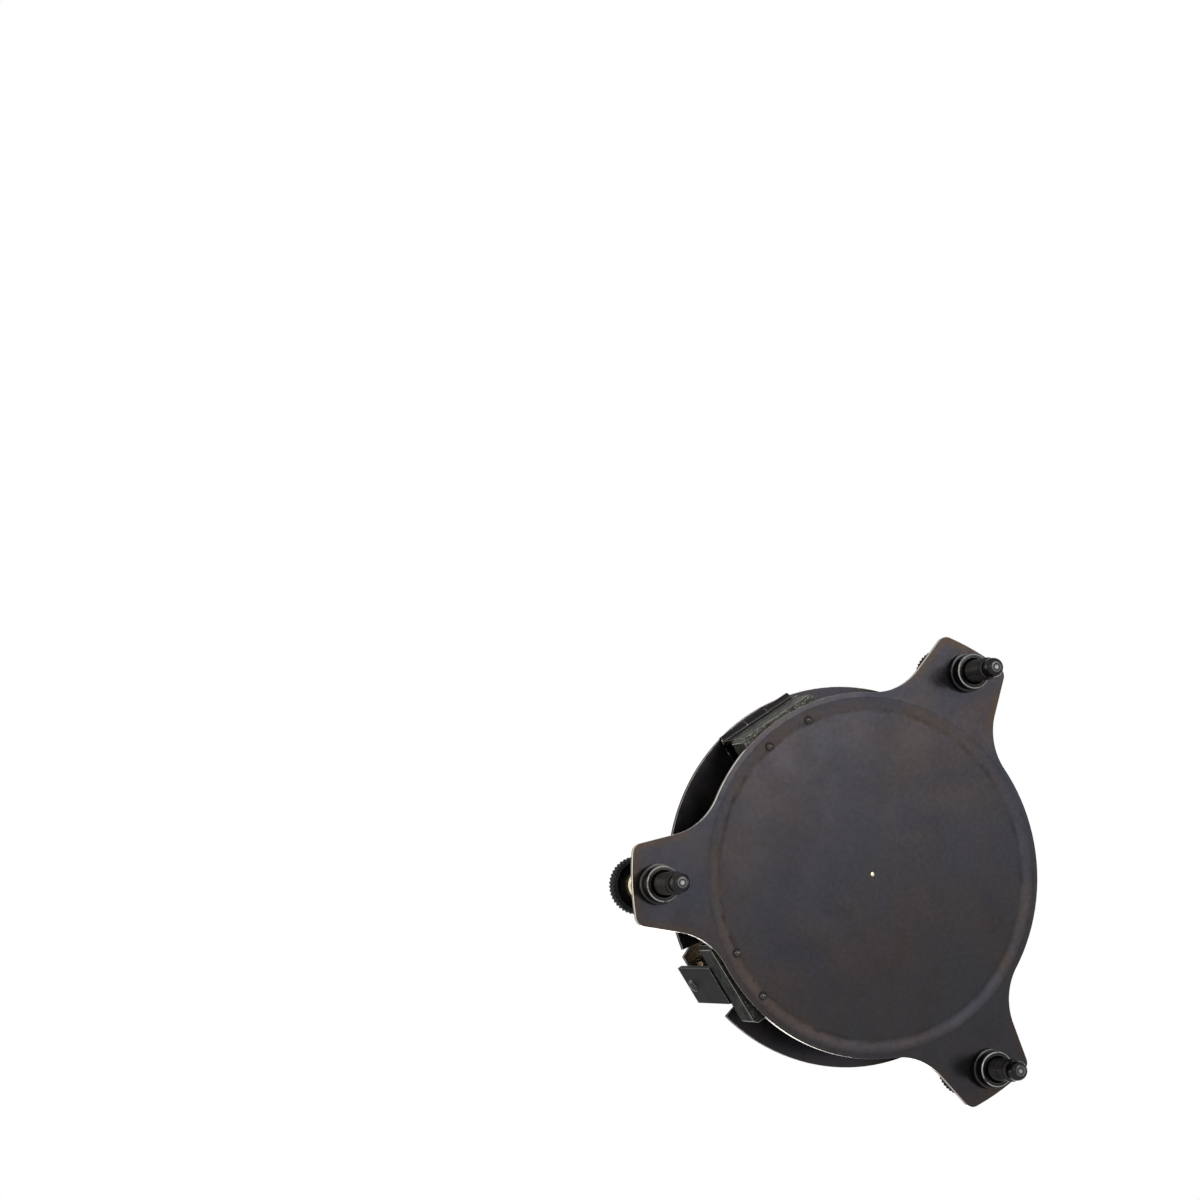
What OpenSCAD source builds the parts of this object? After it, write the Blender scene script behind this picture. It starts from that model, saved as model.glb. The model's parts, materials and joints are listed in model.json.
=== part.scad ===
// Sundial compass with a folding hour ring, a latitude arc and three levelling screws.
// Millimetres. +Z is up through the dial, +Y is the ring hinge (north), +X the latitude arc (east).
// The origin is the centre of the flat disc on the underside of the base plate.

/* [Base plate] */
// Width of the round plate outside the compass bowl
plate_rim = 11.5; // [10.5:0.1:13]
// Thickness of the rim and the three lugs
plate_t = 1.5; // [1.2:0.1:2.5]
// Depth of the shallow dish turned into the underside
dish_depth = 0.4; // [0.2:0.1:0.6]
// Width of the flat rim round that dish
rim_w = 1.7; // [1.2:0.1:2.5]
// Width of the sloping band between the rim and the flat disc
band_w = 4.7; // [3:0.1:6]
// Reach of a lug beyond the round body
lug_l = 22.8; // [20:0.1:26]
// Half the width of a lug at its end
lug_half = 12.1; // [10:0.1:14]
// Angle by which each side of a lug widens towards the body
lug_flare = 10.8; // [4:0.1:14]
// Radius of a lug's outer corners
lug_corner_r = 3.2; // [1:0.1:4]
// Radius of the hollow curve between a lug and the body
lug_fillet_r = 20; // [12:0.5:26]

/* [Levelling screws] */
// Distance from a lug's end to the axis of its screw
foot_inset = 7.9; // [7:0.1:9]
// Radius of a screw's stem
stem_r = 3.5; // [2.5:0.1:3.8]
// Radius of the bush's flange under the lug
bush_flange_r = 6.3; // [6:0.1:8]
// Thickness of that flange
bush_flange_t = 2.4; // [1.5:0.1:3]
// Radius of the bush's lower collar
bush_collar_r = 5.5; // [5.2:0.05:6]
// Height of the lower collar
bush_collar_h = 3.7; // [2:0.1:4]
// Height of the bush above the lug
bush_top_h = 2.9; // [1.5:0.1:3.2]
// Radius of the bush where it goes through the lug
bush_neck_r = 4.8; // [4.6:0.1:5]
// Length of full stem below the underside
stem_drop = 16.4; // [14:0.1:18]
// Length of the cone at the stem's end
stem_cone_h = 1.0; // [0.4:0.1:1.6]
// Gap of bare neck between stem and foot tip
neck_gap = 0.7; // [0.5:0.1:2]
// Radius of the neck that the foot tip turns on
neck_r = 2.0; // [1.5:0.1:2.2]
// Radius of the foot tip
tip_r = 3.05; // [2.8:0.05:3.4]
// Length of the foot tip
tip_h = 4.1; // [3.6:0.1:6]
// Radius of the tip's flat end
tip_flat_r = 1.5; // [0.8:0.1:2]
// Radius of the knurled head
head_r = 9; // [7:0.1:10]
// Thickness of the knurled head
head_t = 5; // [4:0.1:6]
// Height of the head's underside
head_z = 14; // [13.8:0.1:16]
// Number of knurl ridges
knurl_count = 44; // [24:1:60]
// Depth of the knurl
knurl_depth = 0.45; // [0.2:0.05:0.6]
// Radius of the bright collar under the head
collar_r = 5; // [4.5:0.1:6]
// Height of that collar
collar_h = 3; // [2:0.1:3.2]

/* [Hinge and arc blocks] */
// Length of a block along the plate's edge
block_l = 28; // [26:0.5:32]
// Height of a block
block_h = 9.9; // [8:0.1:10.5]
// Gap between the bowl and a block
block_gap = 1.2; // [0.8:0.1:1.5]
// Width of a block across the plate's edge
block_w = 11.3; // [11:0.1:12]
// Sideways place of the arc block and its bracket
arc_shift = -3.5; // [-4:0.1:-3]
// Distance from a block's inner face to the line of its screws
screw_in = 4.9; // [4.8:0.1:5.8]
// Length of a block screw inside the block
screw_l = 6; // [4:0.1:8]
// Spacing of each pair of block screws
screw_gap = 15.6; // [14:0.1:18]
// Radius of a block screw's shank
screw_r = 1.1; // [0.8:0.05:1.3]
// Radius of a block screw's domed head
screw_head_r = 1.25; // [1.2:0.05:1.35]

/* [Compass box] */
// Outer radius of the bowl, from which the plate, the blocks and the ring are set out
bowl_r = 45.5; // [42:0.1:50]
// Thickness of the bowl's wall
bowl_wall = 3.5; // [2.5:0.1:4]
// Height of the bowl's rim
bowl_top = 15.5; // [15:0.1:16.2]
// Height of the top of the bowl's floor
floor_z = 6; // [5:0.1:7]
// Thickness of the floor
floor_t = 1.5; // [1:0.1:2.5]
// Thickness of the compass card
card_t = 0.8; // [0.5:0.1:1.2]
// Width of the raised degree ring
degree_w = 4.3; // [3:0.1:5]
// Height of the degree ring
degree_h = 2.2; // [1.5:0.1:3]
// Thickness of the glass
glass_t = 1.6; // [1.2:0.1:2]
// Width of the ledge that the glass rests on
glass_seat = 1.2; // [0.8:0.1:2]
// How far the bezel stands out beyond the bowl
bezel_lip = 0.5; // [0.1:0.1:0.8]
// Width of the bezel
bezel_w = 5; // [4.5:0.1:7]
// Height of the bezel's top
bezel_top = 20; // [19:0.1:20]
// Gap between the needle's point and the degree ring
needle_gap = 1.5; // [1:0.1:4]
// Width of the needle at its cap
needle_w = 7; // [5:0.1:9]
// Thickness of the needle
needle_t = 0.6; // [0.4:0.1:1]
// Height of the needle above the degree ring
needle_rise = 0.6; // [0.4:0.1:1.5]

/* [Spirit levels] */
// Length of a level's housing
level_l = 26; // [20:0.5:27]
// Width of a level's housing
level_w = 8; // [7.5:0.1:8.4]
// Height of a level's housing
level_h = 7.2; // [6:0.1:9]
// Gap between the bowl and a level
level_gap = 1.8; // [1:0.1:2.2]
// Radius of the glass vial
vial_r = 2.5; // [2:0.1:2.6]
// Length of the window over the vial
level_window_l = 15; // [10:0.5:17]

/* [Hour ring] */
// Gap between the bezel and the hour ring's inner edge, seen from above
ring_clear = 0.5; // [0.4:0.1:1]
// Width of the hour ring
ring_w = 13.8; // [13:0.1:14.2]
// Thickness of the hour ring
ring_t = 1.5; // [1.2:0.1:2]
// Room on each side of the bracket in the ring's opening
gap_room = 3.2; // [3.2:0.1:4]
// Distance by which that opening lies nearer the hinge than the bracket
gap_lead = 1.9; // [1.7:0.1:2.1]
// Length of block left free at each end of the hinge
hinge_inset = 0.5; // [0:0.1:1.5]
// Length of the hinge's middle knuckle
hinge_mid = 8.2; // [6:0.1:10]
// Radius of a hinge knuckle
knuckle_r = 1.8; // [1.6:0.05:1.8]
// Radius of the hinge pin
pin_r = 0.8; // [0.6:0.05:0.9]
// Thickness of the hinge leaves
leaf_t = 1.2; // [1:0.1:1.2]
// Width of the bar across the ring
bar_w = 8; // [7:0.1:8.8]
// Length of each lapped end of the bar
bar_lap = 5; // [4:0.1:5.5]
// Distance from the ring's inner edge to the hinge leaf
leaf_step = 2.5; // [2:0.1:4]
// Distance from the leaf's edge to its rivets
leaf_rivet_in = 2.4; // [2:0.1:3]

/* [Gnomon] */
// Length of the gnomon from its pivot
gnomon_l = 34; // [25:0.5:40]
// Radius of the gnomon at its root
gnomon_r = 0.9; // [0.7:0.05:1.1]
// Radius of the gnomon at its tip
gnomon_tip_r = 0.45; // [0.3:0.05:0.6]
// Height of the gnomon's pivot above the bar
gnomon_rise = 2.8; // [2.5:0.1:3.5]
// Radius of the gnomon's hub
hub_r = 1.8; // [1.6:0.1:2]
// Radius of the gnomon's pin
gnomon_pin_r = 0.7; // [0.5:0.05:0.8]

/* [Latitude arc] */
// Width of the bracket and of the arc's foot
bracket_w = 13; // [12:0.1:13.2]
// Height of the bracket's top
bracket_top = 38; // [34:0.1:39]
// Thickness of the bracket and of the arc
arc_t = 1.5; // [1.2:0.1:1.6]
// How far the bracket's outer face stands out beyond the block
bracket_step = 0.4; // [0.2:0.1:0.5]
// Distance by which the arc's middle runs outside the bracket's middle
arc_lead = 1.0; // [0.6:0.1:1.4]
// Width of the arc
arc_w = 11; // [9:0.1:11.5]
// Angle at which the arc ends
arc_end = 75; // [60:1:76]
// Radius of the arc's knuckles
arc_knuckle_r = 1.6; // [1.4:0.05:1.6]
// Radius of the arc's hinge pin
arc_pin_r = 0.7; // [0.5:0.05:0.8]
// Thickness of the arc's hinge leaves
arc_leaf_t = 1.0; // [0.8:0.1:1]
// Length of the arc's middle knuckle
arc_knuckle_mid = 4.6; // [4:0.1:5]
// Width of the arc's hinge
arc_hinge_w = 10.4; // [9.6:0.1:10.6]
// Radius of the round rivet head on the bracket
rivet_head_r = 2.3; // [1.8:0.1:2.6]
// Distance from the bracket's top down to that rivet
rivet_drop = 4.5; // [4.2:0.1:6]

/* [Hidden] */
$fn = 64;
// Radial gap of a turning fit
run_gap = 0.04;
// Gap between pieces that pass each other
pass_gap = 0.3;
// Overlap of cutting shapes past a face
over = 1;
// Small step of screw and rivet heads above a face
head_dome = 0.7;

body_r = bowl_r + plate_rim;
dish_r = body_r - rim_w;
disc_r = dish_r - band_w;
lug_reach = body_r + lug_l;
lug_angles = [30, 150, 270];
plate_top = plate_t - dish_depth;
dish_slope = (dish_r - disc_r) / dish_depth;
// A hair's breadth by which an arc crosses the line that it blends into
blend = 0.02;
fillet_seat = lug_fillet_r - blend;
fillet_turn = asin((fillet_seat + lug_reach * sin(lug_flare) + lug_half * cos(lug_flare))
    / (body_r + fillet_seat)) - lug_flare;
fillet_x = (body_r + fillet_seat) * cos(fillet_turn);
fillet_y = (body_r + fillet_seat) * sin(fillet_turn);
// The lug's end is an arc about the centre, and its corners touch that arc and the flared side
corner_y = lug_half - lug_corner_r * (1 - sin(lug_flare)) / cos(lug_flare);
corner_x = sqrt(pow(lug_reach - lug_corner_r, 2) - corner_y * corner_y);
foot_circle_r = lug_reach - foot_inset;

bush_bottom = -dish_depth - bush_flange_t - bush_collar_h;
bush_top = plate_top + bush_top_h;
bush_bore_r = stem_r + run_gap;
stem_end_r = tip_r - 0.15;
tip_top = -stem_drop - stem_cone_h - neck_gap;
tip_bottom = tip_top - tip_h;
tip_bore_depth = 2.6;
neck_end_gap = 0.3;
collar_z = head_z - collar_h;
stem_sink = 1.5;
stem_top = head_z + head_t - stem_sink;
head_rim_w = 2.7;

block_in = bowl_r + block_gap;
block_out = block_in + block_w;
block_top = plate_top + block_h;
screw_line = block_in + screw_in;
screw_seat_z = 0.05;
screw_top = plate_top + screw_l;
hinge_l = block_l - 2 * hinge_inset;
upper_screw_l = 3;
upper_screw_in = 4.2;
upper_screw_inset = 3;
upper_screw_bottom = block_top - upper_screw_l;
upper_screw_gap = hinge_l - 2 * upper_screw_inset;
upper_screw_y = block_in + upper_screw_in;

bowl_in_r = bowl_r - bowl_wall;
groove_rise = 4;
glass_r = bowl_in_r + glass_seat;
bezel_r = bowl_r + bezel_lip;
bezel_in_r = bezel_r - bezel_w;
glass_top = bowl_top + glass_t;
card_top = floor_z + card_t;
degree_top = card_top + degree_h;
card_r = bowl_in_r - 0.2;
needle_l = card_r - degree_w - needle_gap;
needle_z = degree_top + needle_rise;
cap_skirt_r = 3.2;
cap_neck_r = 1.9;
cap_bottom = needle_z - 1.2;
cap_top = needle_z + 2.6;
pivot_r = 1;
pivot_top = needle_z + 0.9;
pip_r = 0.6;
pip_inset = 0.1;

ring_in_r = bezel_r + ring_clear;
ring_r = ring_in_r + ring_w;
gap_turn = asin((arc_shift + gap_lead) / ring_in_r);
gap_angle = 2 * asin((bracket_w / 2 + gap_room) / ring_in_r);
ring_z = bezel_top + pass_gap;
ring_top = ring_z + ring_t;
hinge_y = block_out;
hinge_z = ring_z - leaf_t - knuckle_r / 2;
leaf_in = ring_in_r + leaf_step;
leaf_clear = knuckle_r + 0.5;
ring_rivet_y = leaf_in + leaf_rivet_in;
ring_rivet_gap = 16;
ring_rivet_r = 0.9;
ring_rivet_head_r = 1.6;
bar_t = ring_t;
bar_cap_t = 1.2;
bar_step_y = ring_in_r - 0.6;
bar_rivet_y = ring_in_r + bar_lap / 2;

ear_t = 1.2;
ear_gap = 4.4;
pivot_z = ring_z + bar_t + gnomon_rise;

bracket_out = block_out + bracket_step;
bracket_in = bracket_out - arc_t;
arc_mid_r = hinge_y - arc_shift + arc_lead;
arc_hinge_x = bracket_in - arc_knuckle_r - 0.1;
arc_hinge_z = bracket_top - 0.5;
arc_in_r = arc_mid_r - arc_w / 2;
arc_out_r = arc_mid_r + arc_w / 2;
arc_foot_z = bracket_top + pass_gap;
arc_foot_h = 6.4;
arc_leaf_clear = arc_knuckle_r + 0.7;
arc_leaf_l = 6.2;
rivet_z = bracket_top - rivet_drop;
rivet_shank_r = 1;
level_dist = bowl_r + level_gap + level_w / 2;
level_z = plate_top + level_h - vial_r - 0.6;

// Place of levelling screw number k
module at_foot(k) {
    rotate([0, 0, lug_angles[k - 1]])
        translate([foot_circle_r, 0, 0])
            children();
}

// Turns a shape drawn at the hinge block on +Y to the arc block on +X
module at_arc() {
    translate([0, arc_shift, 0])
        rotate([0, 0, -90])
            children();
}

// Cylinder along X, centred on the origin
module rod_x(r, l) {
    rotate([0, 90, 0])
        cylinder(r = r, h = l, center = true);
}

// Domed head standing on the plane z = 0
module domed_head(r, h) {
    dome_r = (r * r + h * h) / (2 * h);
    rotate_extrude()
        intersection() {
            translate([0, h - dome_r])
                circle(r = dome_r, $fn = 96);
            square([r, h]);
        }
}

// Outline of one lug, pointing along +X: corners rounded, sides blended into the body by hollow arcs
module lug_outline() {
    side = [sin(lug_flare), cos(lug_flare)];
    inside_arc = [(body_r + 1) * cos(fillet_turn), (body_r + 1) * sin(fillet_turn)];
    side_end = [fillet_x - fillet_seat * side[0], fillet_y - fillet_seat * side[1]];
    corner_side = [corner_x + lug_corner_r * side[0], corner_y + lug_corner_r * side[1]];
    corner_end = [corner_x, corner_y] * lug_reach / norm([corner_x, corner_y]);
    past_end = [lug_reach + over, corner_end[1] * (lug_reach + over) / corner_end[0]];
    half = [inside_arc, side_end, corner_side, corner_end, past_end];
    difference() {
        polygon(concat([[0, 0]], [for (p = half) [p[0], -p[1]]], [for (i = [4 : -1 : 0]) half[i]]));
        for (s = [-1, 1])
            translate([fillet_x, s * fillet_y])
                circle(r = lug_fillet_r, $fn = 128);
        difference() {
            circle(r = lug_reach + 2 * over);
            circle(r = lug_reach, $fn = 360);
        }
    }
    for (s = [-1, 1])
        translate([corner_x, s * corner_y])
            circle(r = lug_corner_r + blend / 2);
}

module plate_outline() {
    circle(r = body_r, $fn = 180);
    for (a = lug_angles)
        rotate([0, 0, a])
            lug_outline();
}

// Places of the two screws under a block, drawn for the hinge block
module at_block_screws() {
    for (s = [-1, 1])
        translate([s * screw_gap / 2, screw_line, 0])
            children();
}

module base_plate() {
    color("#56565a")
        difference() {
            translate([0, 0, -dish_depth])
                linear_extrude(plate_t)
                    plate_outline();
            translate([0, 0, -dish_depth - over])
                cylinder(r1 = dish_r + dish_slope * over, r2 = disc_r, h = dish_depth + over, $fn = 180);
            for (k = [1:3])
                at_foot(k)
                    translate([0, 0, -over])
                        cylinder(r = bush_neck_r, h = plate_t + 2 * over);
            plate_screw_holes();
            at_arc()
                plate_screw_holes();
            translate([0, 0, -over])
                cylinder(r = pip_r, h = plate_t + 2 * over);
        }
}

// Clearing holes with a spot face for the heads under a block
module plate_screw_holes() {
    at_block_screws() {
        translate([0, 0, -over])
            cylinder(r = screw_r, h = plate_t + 2 * over);
        translate([0, 0, -over])
            cylinder(r = screw_head_r + 0.05, h = over + screw_seat_z);
    }
}

module foot_bush(k) {
    color("#2b2b2d")
        at_foot(k)
            difference() {
                union() {
                    translate([0, 0, bush_bottom])
                        cylinder(r1 = bush_collar_r - 0.35, r2 = bush_collar_r, h = 0.35);
                    translate([0, 0, bush_bottom + 0.35])
                        cylinder(r = bush_collar_r, h = bush_collar_h - 0.35);
                    translate([0, 0, bush_bottom + bush_collar_h])
                        cylinder(r = bush_flange_r, h = bush_flange_t);
                    translate([0, 0, -dish_depth])
                        cylinder(r = bush_neck_r, h = plate_t);
                    translate([0, 0, plate_top])
                        cylinder(r = bush_collar_r, h = bush_top_h);
                }
                translate([0, 0, bush_bottom - over])
                    cylinder(r = bush_bore_r, h = bush_top - bush_bottom + 2 * over);
                translate([0, 0, bush_bottom - 0.01])
                    cylinder(r1 = bush_bore_r + 0.8, r2 = bush_bore_r, h = 0.8);
            }
}

module levelling_screw(k) {
    color("#303032")
        at_foot(k) {
            translate([0, 0, -stem_drop])
                cylinder(r = stem_r, h = stem_drop + stem_top);
            translate([0, 0, -stem_drop - stem_cone_h])
                cylinder(r1 = stem_end_r, r2 = stem_r, h = stem_cone_h);
            translate([0, 0, tip_top - tip_bore_depth + neck_end_gap])
                cylinder(r = neck_r, h = neck_gap + tip_bore_depth - neck_end_gap);
        }
}

module screw_collar(k) {
    color("#c9a862")
        at_foot(k)
            translate([0, 0, collar_z])
                difference() {
                    union() {
                        cylinder(r1 = collar_r - 0.5, r2 = collar_r, h = 0.5);
                        translate([0, 0, 0.5])
                            cylinder(r = collar_r, h = collar_h - 0.5);
                    }
                    translate([0, 0, -over])
                        cylinder(r = stem_r, h = collar_h + 2 * over);
                }
}

// Ridged outline of the knurled head
module knurl_outline() {
    polygon([for (i = [0 : 2 * knurl_count - 1])
        let (a = 180 * i / knurl_count, r = head_r - (i % 2) * knurl_depth)
        [r * cos(a), r * sin(a)]]);
}

module knurled_head(k) {
    band = head_t - 1.4;
    color("#242426")
        at_foot(k)
            translate([0, 0, head_z])
                difference() {
                    union() {
                        translate([0, 0, 0.7])
                            linear_extrude(band)
                                knurl_outline();
                        cylinder(r1 = head_r - 1.2, r2 = head_r - knurl_depth - 0.1, h = 0.7);
                        translate([0, 0, head_t - 0.7])
                            cylinder(r1 = head_r - knurl_depth - 0.1, r2 = head_r - 1.2, h = 0.7);
                    }
                    translate([0, 0, -over])
                        cylinder(r = stem_r, h = stem_top - head_z + over);
                    translate([0, 0, head_t - 0.5])
                        cylinder(r1 = head_r - head_rim_w - 0.5, r2 = head_r - head_rim_w, h = 0.5 + 0.01);
                }
}

// Turned button: a short cylinder that rounds off to a flat end
module foot_tip(k) {
    round_h = tip_h * 0.6;
    turns = [for (a = [0 : 9 : 90])
        [tip_flat_r + (tip_r - tip_flat_r) * sin(a), tip_bottom + round_h * (1 - cos(a))]];
    color("#3a3a3c")
        at_foot(k)
            difference() {
                rotate_extrude()
                    polygon(concat([[0, tip_bottom]], turns,
                        [[tip_r, tip_top - 0.3], [tip_r - 0.3, tip_top], [0, tip_top]]));
                translate([0, 0, tip_top - tip_bore_depth])
                    cylinder(r = neck_r + run_gap, h = tip_bore_depth + over);
            }
}

// Cast block under a hinge, drawn on +Y
module block() {
    difference() {
        translate([-block_l / 2, block_in, plate_top])
            cube([block_l, block_out - block_in, block_h]);
        at_block_screws()
            translate([0, 0, plate_top - over])
                cylinder(r = screw_r, h = screw_top - plate_top + over);
        for (s = [-1, 1])
            translate([s * upper_screw_gap / 2, upper_screw_y, upper_screw_bottom])
                cylinder(r = screw_r, h = block_top);
        for (s = [-1, 1])
            translate([s * (block_l / 2), block_out, plate_top + block_h / 2])
                rotate([0, 0, 45])
                    cube([1.6, 1.6, block_h + 2 * over], center = true);
    }
}

module hinge_block() {
    color("#6f736c")
        block();
}

module arc_block() {
    color("#6f736c")
        difference() {
            at_arc()
                block();
            for (s = [-1, 1])
                translate([upper_screw_y, arc_shift + s * bracket_w / 3, upper_screw_bottom])
                    cylinder(r = screw_r, h = block_top);
        }
}

module block_screw_pair() {
    at_block_screws() {
        translate([0, 0, screw_seat_z])
            cylinder(r = screw_r, h = screw_top - screw_seat_z);
        translate([0, 0, screw_seat_z])
            mirror([0, 0, 1])
                domed_head(screw_head_r, head_dome + 0.25);
    }
}

module block_screws() {
    color("#8d8a84") {
        block_screw_pair();
        at_arc()
            block_screw_pair();
    }
}

module compass_bowl() {
    color("#5d5a55")
        difference() {
            rotate_extrude($fn = 180)
                difference() {
                    translate([0, plate_top])
                        square([bowl_r, bowl_top - plate_top]);
                    translate([-over, floor_z])
                        square([bowl_in_r + over, bowl_top]);
                    translate([-over, 0])
                        square([bowl_in_r + over, floor_z - floor_t]);
                    translate([bowl_r, plate_top + groove_rise])
                        circle(r = 0.7);
                }
            translate([0, 0, floor_z - floor_t - over])
                cylinder(r = pivot_r, h = floor_t + 2 * over);
        }
}

module compass_card() {
    color("#d8cfb4")
        translate([0, 0, floor_z])
            difference() {
                cylinder(r = card_r, h = card_t, $fn = 180);
                translate([0, 0, -over])
                    cylinder(r = pivot_r, h = card_t + 2 * over);
            }
}

module degree_ring() {
    color("#b3924f")
        rotate_extrude($fn = 180)
            polygon([
                [card_r - degree_w, card_top],
                [card_r, card_top],
                [card_r, degree_top],
                [card_r - degree_w + 0.6, degree_top],
                [card_r - degree_w, degree_top - 0.6]
            ]);
}

module needle_pivot() {
    color("#b3924f") {
        translate([0, 0, pip_inset])
            cylinder(r = pip_r, h = plate_top - pip_inset);
        translate([0, 0, plate_top])
            cylinder(r = pivot_r + 1.2, h = floor_z - floor_t - plate_top);
        translate([0, 0, floor_z - floor_t])
            cylinder(r = pivot_r, h = pivot_top - floor_z + floor_t);
    }
}

// Slim lozenge blade with a hole for the cap
module compass_needle() {
    color("#3c4a63")
        translate([0, 0, needle_z])
            linear_extrude(needle_t)
                difference() {
                    polygon([[0, needle_l], [needle_w / 2, 0], [0, 2 - needle_l], [-needle_w / 2, 0]]);
                    circle(r = cap_neck_r);
                }
}

module needle_cap() {
    color("#c9a862")
        difference() {
            union() {
                translate([0, 0, cap_bottom])
                    cylinder(r = cap_skirt_r, h = needle_z - cap_bottom);
                translate([0, 0, needle_z])
                    cylinder(r = cap_neck_r, h = cap_top - needle_z - 0.8);
                translate([0, 0, cap_top - 0.8])
                    cylinder(r1 = cap_neck_r, r2 = cap_neck_r - 0.9, h = 0.8);
            }
            translate([0, 0, cap_bottom - over])
                cylinder(r = pivot_r + run_gap, h = pivot_top + run_gap - cap_bottom + over);
        }
}

module compass_glass() {
    color("#d7e4e6", 0.35)
        translate([0, 0, bowl_top])
            cylinder(r = glass_r, h = glass_t, $fn = 180);
}

module bezel_ring() {
    color("#b3924f")
        rotate_extrude($fn = 180)
            polygon([
                [glass_r, bowl_top],
                [bezel_r, bowl_top],
                [bezel_r, bezel_top - 0.5],
                [bezel_r - 0.5, bezel_top],
                [bezel_in_r + 1.8, bezel_top],
                [bezel_in_r, bezel_top - 1.8],
                [bezel_in_r, glass_top],
                [glass_r, glass_top]
            ]);
}

// Housing of a spirit level along X, centred over the origin
module level_housing() {
    difference() {
        translate([-level_l / 2, -level_w / 2, plate_top])
            cube([level_l, level_w, level_h]);
        translate([0, 0, level_z])
            rod_x(vial_r + run_gap, level_l + 2 * over);
        translate([-level_window_l / 2, -vial_r * 0.85, level_z])
            cube([level_window_l, vial_r * 1.7, level_h]);
        for (s = [-1, 1])
            translate([0, s * level_w / 2, plate_top + level_h])
                rotate([45, 0, 0])
                    cube([level_l + 2 * over, 1, 1], center = true);
    }
}

module level_vial() {
    translate([0, 0, level_z])
        rod_x(vial_r, level_l - 2);
}

module at_south_level() {
    translate([0, -level_dist, 0])
        children();
}

module at_west_level() {
    translate([-level_dist, 0, 0])
        rotate([0, 0, 90])
            children();
}

module south_level_housing() {
    color("#b3924f")
        at_south_level()
            level_housing();
}

module south_level_vial() {
    color("#cfe08a", 0.5)
        at_south_level()
            level_vial();
}

module west_level_housing() {
    color("#b3924f")
        at_west_level()
            level_housing();
}

module west_level_vial() {
    color("#cfe08a", 0.5)
        at_west_level()
            level_vial();
}

// Knuckles along X about the origin: outer pair, or the middle one
module knuckles(r, bore_r, l, mid, middle) {
    difference() {
        if (middle)
            rod_x(r, mid - 2 * run_gap);
        else
            for (s = [-1, 1])
                translate([s * (l + mid) / 4, 0, 0])
                    rod_x(r, (l - mid) / 2);
        rod_x(bore_r, l + 2 * over);
    }
}

// Cutting rod that keeps a leaf's pin bore open
module pin_bore(r, l) {
    rod_x(r + run_gap, l + 2 * over);
}

// Fixed leaf of the ring's hinge: foot on the block, upright and two knuckles
module ring_hinge_base() {
    upright_y = hinge_y - leaf_t + 0.2;
    color("#3a393a") {
        difference() {
            union() {
                translate([-hinge_l / 2, block_in, block_top])
                    cube([hinge_l, upright_y + leaf_t - block_in, leaf_t]);
                translate([-hinge_l / 2, upright_y, block_top])
                    cube([hinge_l, leaf_t, hinge_z - block_top]);
                translate([0, hinge_y, hinge_z])
                    knuckles(knuckle_r, pin_r + run_gap, hinge_l, hinge_mid, false);
            }
            translate([-hinge_mid / 2, upright_y - over, hinge_z - knuckle_r - pass_gap])
                cube([hinge_mid, leaf_t + 2 * over, 2 * knuckle_r]);
            translate([0, hinge_y, hinge_z])
                pin_bore(pin_r, hinge_l);
            for (s = [-1, 1])
                translate([s * upper_screw_gap / 2, upper_screw_y, block_top - over])
                    cylinder(r = screw_r, h = leaf_t + 2 * over);
        }
    }
}

module hinge_base_screws() {
    color("#8d8a84")
        for (s = [-1, 1])
            translate([s * upper_screw_gap / 2, upper_screw_y, 0]) {
                translate([0, 0, upper_screw_bottom])
                    cylinder(r = screw_r, h = block_top + leaf_t - upper_screw_bottom);
                translate([0, 0, block_top + leaf_t])
                    domed_head(screw_r + 0.9, head_dome);
            }
}

module ring_hinge_pin() {
    color("#c9a862")
        translate([0, hinge_y, hinge_z])
            rod_x(pin_r, hinge_l);
}

// Moving leaf, riveted under the ring
module ring_hinge_leaf() {
    color("#3a393a")
        difference() {
            union() {
                translate([-hinge_l / 2, leaf_in, ring_z - leaf_t])
                    cube([hinge_l, hinge_y - leaf_clear - leaf_in, leaf_t]);
                translate([-hinge_mid / 2 + run_gap, leaf_in, ring_z - leaf_t])
                    cube([hinge_mid - 2 * run_gap, hinge_y - leaf_in, leaf_t - pass_gap]);
                translate([0, hinge_y, hinge_z])
                    knuckles(knuckle_r, pin_r + run_gap, hinge_l, hinge_mid, true);
            }
            translate([0, hinge_y, hinge_z])
                pin_bore(pin_r, hinge_l);
            ring_rivet_holes();
        }
}

module ring_rivet_holes() {
    for (s = [-1, 1])
        translate([s * ring_rivet_gap / 2, ring_rivet_y, ring_z - leaf_t - over])
            cylinder(r = ring_rivet_r, h = ring_t + leaf_t + 2 * over);
}

module ring_rivets() {
    color("#8d8a84")
        for (s = [-1, 1])
            translate([s * ring_rivet_gap / 2, ring_rivet_y, 0]) {
                translate([0, 0, ring_z - leaf_t])
                    cylinder(r = ring_rivet_r, h = ring_t + leaf_t);
                translate([0, 0, ring_top])
                    domed_head(ring_rivet_head_r, head_dome);
            }
}

// Annulus with a wedge taken out for the latitude arc
module hour_ring() {
    far = ring_r * 1.2;
    color("#4a4748")
        difference() {
            translate([0, 0, ring_z])
                linear_extrude(ring_t)
                    difference() {
                        circle(r = ring_r, $fn = 180);
                        circle(r = ring_in_r, $fn = 180);
                        rotate([0, 0, gap_turn])
                            polygon([
                                [0, 0],
                                [far * cos(gap_angle / 2), -far * sin(gap_angle / 2)],
                                [far * cos(gap_angle / 2), far * sin(gap_angle / 2)]
                            ]);
                    }
            ring_rivet_holes();
            bar_rivet_holes();
        }
}

module bar_rivet_holes() {
    for (s = [-1, 1])
        translate([0, s * bar_rivet_y, ring_z - over])
            cylinder(r = ring_rivet_r, h = 2 * ring_t + bar_cap_t + 2 * over);
}

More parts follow.
